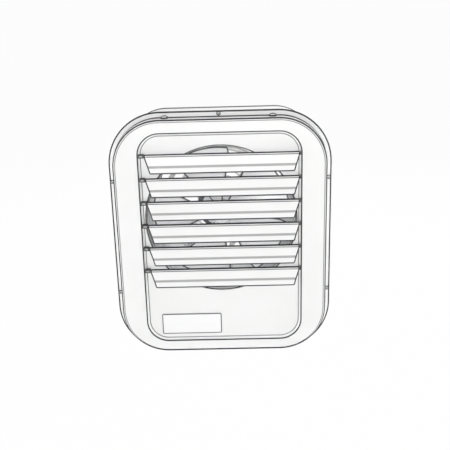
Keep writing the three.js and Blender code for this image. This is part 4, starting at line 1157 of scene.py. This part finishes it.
# %% [markdown]
# ## Air drum, elements and spider
# The drum is rolled from galvanised sheet, with two swaged beads that keep it round and a flange at its
# back. Two sheathed elements run round inside it and come out through its bottom. A three-armed spider
# carries the motor and keeps its solid from the frame.

# %% Air drum
BEAD_DEPTHS, BEAD_HALF, BEAD_RISE = (40.0, 138.0), 3.0, 1.4


# the drum's front edges and inner beads carry dark lines of painted shade
def drum_profile():
    """Along the outside of the drum and round its flange, then back along the inside, over both beads."""
    front, back = drum_depth
    inner, flange = DRUM - DRUM_SHEET, DRUM + DRUM_FLANGE
    line = Profile(inner, front).to(DRUM, front).mark(1.4, 0.7)
    for bead in BEAD_DEPTHS:
        line.to(DRUM, bead - BEAD_HALF).to(DRUM - BEAD_RISE, bead).to(DRUM, bead + BEAD_HALF)
    line.to(DRUM, back - DRUM_SHEET).to(flange, back - DRUM_SHEET).to(flange, back).to(inner, back)
    for bead in reversed(BEAD_DEPTHS):
        line.to(inner, bead + BEAD_HALF).mark(0.6, 0.35)
        line.to(inner - BEAD_RISE, bead).to(inner, bead - BEAD_HALF)
    return line.to(inner, front).mark(1.4, 0.7)


drum_mesh = Shell().sweep(drum_profile(), round_path(0, AXIS_HEIGHT), closed=True).mesh("air_drum_rolled")
make_piece("air_drum_rolled", drum_mesh, galvanised, "casing", ["air_drum"])

# %% Heating elements
ELEMENT = 4.0
OUTER_RING_GAP, RING_STEP = 21.5, 22.0
OUTER_RING = DRUM - DRUM_SHEET - OUTER_RING_GAP
ELEMENT_RINGS = {"heating_element_1": OUTER_RING, "heating_element_2": OUTER_RING - RING_STEP}
ELEMENT_LEG, ELEMENT_MOUTH, ELEMENT_NECK, ELEMENT_STRAIGHT = 13.0, 24.7, 14.0, 8.0
RING_PARTS = 20


def smooth_route(places, steps=6):
    """A smooth line through every place, by Catmull-Rom arcs."""
    points = [Vector(spot) for spot in places]
    points = [points[0] * 2 - points[1], *points, points[-1] * 2 - points[-2]]
    route = []
    for a, b, c, d in zip(points, points[1:], points[2:], points[3:]):
        for i in range(steps):
            t = i / steps
            route.append((b * 2 + (c - a) * t + (a * 2 - b * 5 + c * 4 - d) * t ** 2
                          + (b * 3 - a - c * 3 + d) * t ** 3) / 2)
    return [*route, points[-2]]


def element_route(node, ring):
    """The middle of an element: up its left leg, once round and down its right leg."""
    (_, depth, (low, _)) = span(node)
    middle = middle_of(depth)
    gap = math.asin(ELEMENT_MOUTH / ring)
    angles = [-math.pi / 2 - gap - (2 * math.pi - 2 * gap) * i / RING_PARTS for i in range(RING_PARTS + 1)]
    circle = [(ring * math.cos(a), middle, AXIS_HEIGHT + ring * math.sin(a)) for a in angles]
    heights = (low, low + ELEMENT_STRAIGHT, AXIS_HEIGHT - ring - ELEMENT_NECK)
    left, right = ([(side * ELEMENT_LEG, middle, height) for height in heights] for side in (-1, 1))
    return smooth_route([*left, *circle, *reversed(right)])


for node, ring in ELEMENT_RINGS.items():
    mesh = Shell().tube(element_route(node, ring), ELEMENT).mesh(f"{node}_tube")
    make_piece(f"{node}_tube", mesh, sheath, "casing", [node], sharp=50)
# the spider's and the strip's bevelled edges are painted dark as shade
dress("motor_spider", galvanised, 0.35, shade_edge_paint)
dress("cutout_strip", galvanised, 0.25, shade_edge_paint)
print("drum", len(drum_mesh.polygons), "faces; elements:", len(ELEMENT_RINGS))

# %% [markdown]
# ## Fan
# The fan is stamped from sheet: five blades, twisted from root to tip and slightly dished, on a turned
# hub. A blade is a grid over its radius and its chord. Its tip corners are rounded by trimming the chord
# near the tip. Shade is painted as a dark line round the sheet's edge, so that a blade reads in the gaps
# between louvres.

# %% Fan
FAN_BLADES, FAN_FIRST, FAN_SPAN = 5, 107.5, 56.0
FAN_SHEET, FAN_MIDDLE, PITCH_ROOT, PITCH_TIP, CAMBER = 1.4, 46.0, 20.0, 26.0, 3.0
ROOT_SPAN, TIP_TRIM, TIP_POWER = 0.82, 0.16, 8  # shares of the span: at the root, and trimmed off at the tip
HUB, HUB_FRONT, HUB_BACK, HUB_EDGE, HUB_LIP, SHAFT, SHAFT_GAP = 19.0, 32.0, 60.0, 3.0, 1.0, 4.0, 0.3
BLADE_SINK = 2.0  # how far a blade reaches into the hub
# BLADE_LINE, BLADE_SOFT and BLADE_STRENGTH size the painted shade line round each blade
BLADE_RADIAL, BLADE_CHORD, BLADE_LINE, BLADE_SOFT, BLADE_STRENGTH = 30, 24, 2.0, 1.2, 0.9
RADIAL_EXTRA, CHORD_EXTRA = (0.008, 0.02, 0.035), (0.006, 0.018, 0.03)  # steps close to the edges


def blade_point(outwards, along, side):
    """A point of a blade's face: how far out (0 to 1), across the chord (-0.5 to 0.5), and which face."""
    root = HUB - BLADE_SINK
    radius = root + (FAN_RADIUS - root) * outwards
    pitch = PITCH_ROOT + (PITCH_TIP - PITCH_ROOT) * outwards
    trim = 1 - TIP_TRIM * outwards ** TIP_POWER
    angle = along * FAN_SPAN * (ROOT_SPAN + (1 - ROOT_SPAN) * outwards) * trim
    dish = CAMBER * (1 - 4 * along ** 2) * outwards
    return radius, FAN_MIDDLE + along * pitch - dish + side * FAN_SHEET / 2, angle


def edge_line(outwards, along):
    """The painted shade line round a blade's sides and tip."""
    radius, _, _ = blade_point(outwards, along, 0)
    half_chord = radius * math.radians(FAN_SPAN) / 2
    inside = min((0.5 - abs(along)) * 2 * half_chord, FAN_RADIUS - radius)
    return BLADE_STRENGTH * limited((BLADE_LINE + BLADE_SOFT - inside) / BLADE_SOFT)


def steps_with_edges(count, edge):
    """Even steps from 0 to 1 with extra ones near both ends."""
    even = [i / count for i in range(count + 1)]
    return sorted({*even, *edge, *(1 - e for e in edge)})


def fan_shell():
    """The blades, each a closed grid, and the turned hub."""
    shell = Shell()
    outs = steps_with_edges(BLADE_RADIAL, RADIAL_EXTRA)
    alongs = [a - 0.5 for a in steps_with_edges(BLADE_CHORD, CHORD_EXTRA)]
    for blade in range(FAN_BLADES):
        start = FAN_FIRST + blade * 360 / FAN_BLADES
        rows = []
        for out in outs:
            row = []
            for side, order in ((-1, alongs), (1, list(reversed(alongs)))):
                for along in order:
                    radius, depth, angle = blade_point(out, along, side)
                    turn = math.radians(start + angle)
                    row.append((radius * math.cos(turn), depth, AXIS_HEIGHT + radius * math.sin(turn),
                                edge_line(out, along)))
            rows.append(row)
        shell.grid(rows, round_columns=True)
        count = len(alongs)
        for end in (rows[0], rows[-1]):
            shell.grid([end[:count], list(reversed(end[count:]))])
    bore = SHAFT + SHAFT_GAP
    # the hub's front edge carries dark lines of painted shade
    hub = Profile(bore, HUB_FRONT).to(HUB - HUB_EDGE, HUB_FRONT).mark(0.8, 0.5)
    hub.arc(HUB - HUB_EDGE, HUB_FRONT + HUB_EDGE, HUB_EDGE, -90, 0, 6).mark(0.8, 0.5)
    hub.to(HUB, HUB_BACK - HUB_LIP).to(HUB - HUB_LIP, HUB_BACK).to(bore, HUB_BACK).to(bore, HUB_FRONT)
    return shell.sweep(hub, round_path(0, AXIS_HEIGHT, 72), closed=True)


fan = make_piece("fan_blades", fan_shell().mesh("fan_blades"), alloy, "rotor", ["fan"])
print("fan:", len(fan.data.polygons), "faces,", open_edges(fan), "open edges")

# %% [markdown]
# ## Motor
# The motor sits behind the fan: an end bell in front, a pressed housing behind, both enamelled dark. From
# the back of the heater the housing shows through the guard, so it gets a round groove in its back and five
# flat grooves round its side rather than being a plain drum.

# %% Motor
MOTOR, MOTOR_EDGE, MOTOR_BACK_EDGE, MOTOR_WALL = 42.0, 3.0, 4.0, 2.0
BELL_BOSS, BELL_SINK, BELL_RIM, BELL_WEB, BELL_GAP, SLOPE = 16.0, 0.8, 5.0, 1.5, 1.3, 1.0
GROOVES, GROOVE_START, GROOVE_PITCH, GROOVE_WIDTH, GROOVE_DEPTH = 5, 8.0, 9.0, 5.0, 0.6
CAP_GROOVE, CAP_GROOVE_DEPTH = (9.0, 10.5, 13.0, 14.5), 1.2  # where its slopes start and end
CUP, CUP_OUTSIDE, CUP_DEPTH, CUP_FLOOR = 11.3, 14.3, 9.3, 2.2  # the rear bearing's
SHAFT_CHAMFER = 0.5


def turned_piece(name, profile, material, body, node, steps=96, closed=True):
    """A piece turned about the fan's axis, which stands for one CAD node."""
    mesh = Shell().sweep(profile, round_path(0, AXIS_HEIGHT, steps), closed=closed).mesh(name)
    return make_piece(name, mesh, material, body, [node])


# the bell's rim and the housing's back edge carry dark lines of painted shade
def bell_profile(front, back):
    """Over the boss and the sunk face to the rim, then back round the bearing's seat."""
    bore, web = SHAFT + BELL_GAP, front + BELL_WEB
    bell = Profile(bore, front).to(BELL_BOSS, front).to(BELL_BOSS + 2 * SLOPE, front + BELL_SINK)
    bell.to(MOTOR - BELL_RIM - SLOPE, front + BELL_SINK).to(MOTOR - BELL_RIM, front)
    bell.arc(MOTOR - MOTOR_EDGE, front + MOTOR_EDGE, MOTOR_EDGE, -90, 0, 6).mark(0.8, 0.6)
    return bell.to(MOTOR, back).to(CUP, back).to(CUP, web).to(bore, web).to(bore, front)


def housing_profile(front, back):
    """From the middle of the back over its groove, forward along the grooved side, and back inside."""
    start, sink, rise, end = CAP_GROOVE
    sunk, inner_back, inner = back - CAP_GROOVE_DEPTH, back - MOTOR_WALL, MOTOR - MOTOR_WALL
    housing = Profile(0, back).to(start, back).to(sink, sunk).to(rise, sunk).to(end, back)
    housing.to(MOTOR - MOTOR_BACK_EDGE, back).mark(0.6, 0.3)
    housing.arc(MOTOR - MOTOR_BACK_EDGE, back - MOTOR_BACK_EDGE, MOTOR_BACK_EDGE, 90, 0, 8)
    for i in range(GROOVES):
        at, deep = back - GROOVE_START - i * GROOVE_PITCH, MOTOR - GROOVE_DEPTH
        housing.to(MOTOR, at).to(deep, at - SLOPE).to(deep, at - GROOVE_WIDTH + SLOPE)
        housing.to(MOTOR, at - GROOVE_WIDTH)
    housing.to(MOTOR, front).to(inner, front).to(inner, back - MOTOR_BACK_EDGE)
    housing.to(MOTOR - MOTOR_BACK_EDGE, inner_back).to(CUP_OUTSIDE, inner_back)
    housing.to(CUP_OUTSIDE, back - CUP_DEPTH).to(CUP, back - CUP_DEPTH)
    return housing.to(CUP, back - CUP_FLOOR).to(0, back - CUP_FLOOR)


(_, bell_depth, _) = span("motor_end_bell")
turned_piece(
    "motor_end_bell_cast", bell_profile(*bell_depth), enamel, "casing", "motor_end_bell")

(_, (housing_front, housing_back), _) = span("motor_housing")
housing = housing_profile(housing_front, housing_back)
turned_piece("motor_housing_pressed", housing, enamel, "casing", "motor_housing", closed=False)

(_, shaft_depth, _) = span("motor_shaft")
shaft = bar_profile(SHAFT, *shaft_depth, SHAFT_CHAMFER)
turned_piece("motor_shaft_bar", shaft, zinc_plate, "rotor", "motor_shaft", 32, closed=False)

for node in ("motor_bearing_front", "motor_bearing_rear"):
    dress(node, zinc_plate, 0.3)
for node in ("motor_stator", "motor_rotor"):
    dress(node, core, 0.3)
print("motor housing from", round(housing_front, 1), "to", round(housing_back, 1), "mm behind the face")

# %% [markdown]
# ## Thermal cut-out and wiring
# A round cut-out sits on a strip on the lower right arm of the spider. Below the drum a terminal block
# takes the leads of the elements. These are small mouldings, so a fine bevel and the right grain do most of
# the work.

# %% Thermal cut-out and wiring
CUTOUT, CUTOUT_EDGE, BUTTON, BUTTON_HEIGHT, BUTTON_BEVEL = 9.0, 1.0, 3.6, 2.2, 0.4
CABLE_BORE, CABLE_RIM, CABLE_SLEEVE, CABLE_ROUND, CABLE_SEAT = 7.0, 14.0, 10.7, 1.5, 0.3
MOULDING_STEPS = 48


# the cut-out's button and face edges, and the cable bush's rim, carry lines of painted shade
def cutout_profile(front, back):
    """From the middle of the button over its edge, out across the face and back along the side."""
    face = front + BUTTON_HEIGHT
    line = Profile(0, front).to(BUTTON - BUTTON_BEVEL, front).to(BUTTON, front + BUTTON_BEVEL).mark(0.8, 0.8)
    line.to(BUTTON, face).to(CUTOUT - CUTOUT_EDGE, face)
    line.arc(CUTOUT - CUTOUT_EDGE, face + CUTOUT_EDGE, CUTOUT_EDGE, -90, 0, 4).mark(0.9, 0.9)
    return line.to(CUTOUT, back).to(0, back)


def cable_bush_profile(front, back):
    """Out along the bore, round the rolled rim and back along the sleeve in the wall."""
    centre, seat = back - CABLE_ROUND, case_back + CABLE_SEAT
    line = Profile(CABLE_BORE, front).to(CABLE_BORE, centre)
    line.arc(CABLE_BORE + CABLE_ROUND, centre, CABLE_ROUND, 180, 90, 5)
    line.arc(CABLE_RIM - CABLE_ROUND, centre, CABLE_ROUND, 90, 0, 5).mark(0.8, 0.4)
    return line.to(CABLE_RIM, seat).to(CABLE_SLEEVE, seat).to(CABLE_SLEEVE, front).to(CABLE_BORE, front)


(cutout_x, cutout_depth, cutout_height) = span("thermal_cutout")
cutout_shell = Shell().sweep(cutout_profile(*cutout_depth), path_round("thermal_cutout", MOULDING_STEPS))
make_piece(
    "thermal_cutout_body", cutout_shell.mesh("thermal_cutout_body"), black_moulding,
    "casing", ["thermal_cutout"])

dress("terminal_block", black_moulding, 0.5)
dress("earth_stud", brass, 0.3)
for number in range(1, 5):
    dress(f"element_lead_{number}", sleeve, 0.15)

(_, bush_depth, _) = span("cable_bush")
bush_path = path_round("cable_bush", MOULDING_STEPS)
bush_shell = Shell().sweep(cable_bush_profile(*bush_depth), bush_path, closed=True)
make_piece(
    "cable_bush_moulded", bush_shell.mesh("cable_bush_moulded"), black_moulding,
    "casing", ["cable_bush"])
print("cut-out at", round(middle_of(cutout_x), 1), round(middle_of(cutout_height), 1), "mm")

# %% [markdown]
# ## Intake guard
# The guard over the intake is made of coated wire: three rings and eight spokes, welded to a flat rim and
# a middle disc. Real wire is round, so the rings are turned from a circle and the spokes are tubes.

# %% Intake guard
GUARD_LAP, GUARD_PITCH, GUARD_WIRE, GUARD_SPOKES = 6.0, 25.0, 2.6, 8
GUARD_RIM, GUARD_RIM_HALF, GUARD_RIM_THICK, GUARD_RIM_BEVEL = INTAKE + GUARD_LAP, 2.5, 2.0, 0.4
GUARD_DISC, DISC_BEVEL, DISC_DISH, SPOKE_LAP = 20.0, 0.6, 0.9, 2.0
GUARD_RINGS = [GUARD_RIM - GUARD_PITCH * i for i in (3, 2, 1)]


def guard_rim_profile(front):
    """A flat ring whose two outer edges are broken and painted with dark lines of shade."""
    inside, outside, top = GUARD_RIM - GUARD_RIM_HALF, GUARD_RIM + GUARD_RIM_HALF, front + GUARD_RIM_THICK
    rim = Profile(inside, front).to(outside, front).to(outside, top - GUARD_RIM_BEVEL).mark(0.8, 0.6)
    rim.to(outside - GUARD_RIM_BEVEL, top).to(inside + GUARD_RIM_BEVEL, top)
    return rim.to(inside, top - GUARD_RIM_BEVEL).mark(0.8, 0.6).to(inside, front)


def guard_disc_profile(front):
    """A slightly dished disc, with a dark line of painted shade round its front edge."""
    top = front + GUARD_WIRE
    disc = Profile(0, front).to(GUARD_DISC, front).to(GUARD_DISC, top - DISC_BEVEL)
    return disc.to(GUARD_DISC - DISC_BEVEL, top).mark(0.9, 0.5).to(0, top - DISC_DISH)


(_, (guard_front, _), _) = span("intake_guard")
guard_path = round_path(0, AXIS_HEIGHT)
wire = GUARD_WIRE / 2
guard = Shell()
for ring in GUARD_RINGS:
    guard.sweep(Profile(ring + wire, guard_front + wire).arc(ring, guard_front + wire, wire, 0, 360, 16),
                guard_path, closed=True)
guard.sweep(guard_rim_profile(guard_front), guard_path, closed=True)
guard.sweep(guard_disc_profile(guard_front), round_path(0, AXIS_HEIGHT, 72))
for i in range(GUARD_SPOKES):
    turn = 2 * math.pi * i / GUARD_SPOKES
    ends = [(r * math.cos(turn), guard_front + wire, AXIS_HEIGHT + r * math.sin(turn))
            for r in (GUARD_DISC - SPOKE_LAP, GUARD_RIM)]
    guard.tube(ends, wire)
make_piece(
    "intake_guard_wire", guard.mesh("intake_guard_wire"), guard_coat,
    "casing", ["intake_guard"])
print("guard: rings", GUARD_RINGS, "and", GUARD_SPOKES, "spokes")

# %% [markdown]
# ## Floor, backdrop and light
# The heater hangs well above a pale floor. The floor and the world are white to the camera, to reflections
# and through glass. A small lamp close above the camera lights the face and looks in between the louvres
# with hardly a shadow, and a weaker one below evens the face out towards its lower edge. Four large soft
# lamps above, behind and at both sides fill in the walls. The floor is wide, so that its far edge lies out
# of the picture.

# %% Floor
FLOOR_DROP, FLOOR_SIZE = 420.0, 160.0  # millimetres below the panel, and metres across
BACKDROP_GLOW = 0.97
PURE_WHITE = (1.0, 1.0, 1.0)
SEEN_RAYS = ("Is Camera Ray", "Is Glossy Ray", "Is Transmission Ray")


def backdrop_white():
    """White to the camera and to reflections, with the soft shadow of what hangs above it."""
    finish = Finish("backdrop_white", (0.9, 0.9, 0.9), 0.9)
    seen = sum(finish.node("ShaderNodeLightPath", output=ray) for ray in SEEN_RAYS)
    glow = finish.node("ShaderNodeEmission", {}, {"Color": PURE_WHITE})
    lit = Value(finish, finish.shader.outputs[0])
    mixed = finish.node("ShaderNodeMixShader", {}, {0: seen * BACKDROP_GLOW, 1: lit, 2: glow})
    finish.connect(finish.tree.nodes["Material Output"].inputs["Surface"], mixed)
    return finish.material


floor_made = bmesh.new()
bmesh.ops.create_grid(floor_made, x_segments=1, y_segments=1, size=FLOOR_SIZE / 2)
floor = add_object("floor", mesh_from(floor_made, "floor"))
floor.location = (0, 0, panel_low.z - FLOOR_DROP * MM)
floor.data.materials.append(backdrop_white())

# %% Lights
def soft_lamp(name, spot, power, size):
    """A square area lamp that faces the middle of the heater."""
    lamp = bpy.data.lights.new(name, "AREA")
    lamp.energy = power
    lamp.size = size
    made = add_object(name, lamp)
    made.location = spot
    aim = place(0, AIM_DEPTH, 0) - Vector(spot)
    made.rotation_euler = aim.to_track_quat("-Z", "Y").to_euler()


ROOM_LIGHT, AIM_DEPTH, BIG_LAMP = 0.14, 60, 1.6
soft_lamp("front", place(22.9, -1230, 425), 9.1, 0.08)
soft_lamp("low", place(0, -1100, -650), 3.6, 0.5)
soft_lamp("above", (0.0, -0.1, 2.5), 20, BIG_LAMP)
soft_lamp("back", (0.6, 2.4, 1.0), 34, BIG_LAMP)
soft_lamp("left", (-2.5, -0.25, 0.5), 26, BIG_LAMP)
soft_lamp("right", (2.5, -0.25, 0.5), 26, BIG_LAMP)

world = bpy.data.worlds.new("pale_room")
scene.world = world
world.use_nodes = True
sky = world.node_tree.nodes["Background"]
light_path = world.node_tree.nodes.new("ShaderNodeLightPath")
brightness = light_path.outputs[SEEN_RAYS[0]]
for ray in SEEN_RAYS[1:]:
    either = world.node_tree.nodes.new("ShaderNodeMath")
    either.operation = "MAXIMUM"
    world.node_tree.links.new(brightness, either.inputs[0])
    world.node_tree.links.new(light_path.outputs[ray], either.inputs[1])
    brightness = either.outputs[0]
strength = world.node_tree.nodes.new("ShaderNodeMapRange")
strength.inputs["To Min"].default_value = ROOM_LIGHT
world.node_tree.links.new(brightness, strength.inputs["Value"])
world.node_tree.links.new(strength.outputs["Result"], sky.inputs["Strength"])
sky.inputs["Color"].default_value = (*PURE_WHITE, 1.0)
scene.view_settings.view_transform = "Standard"
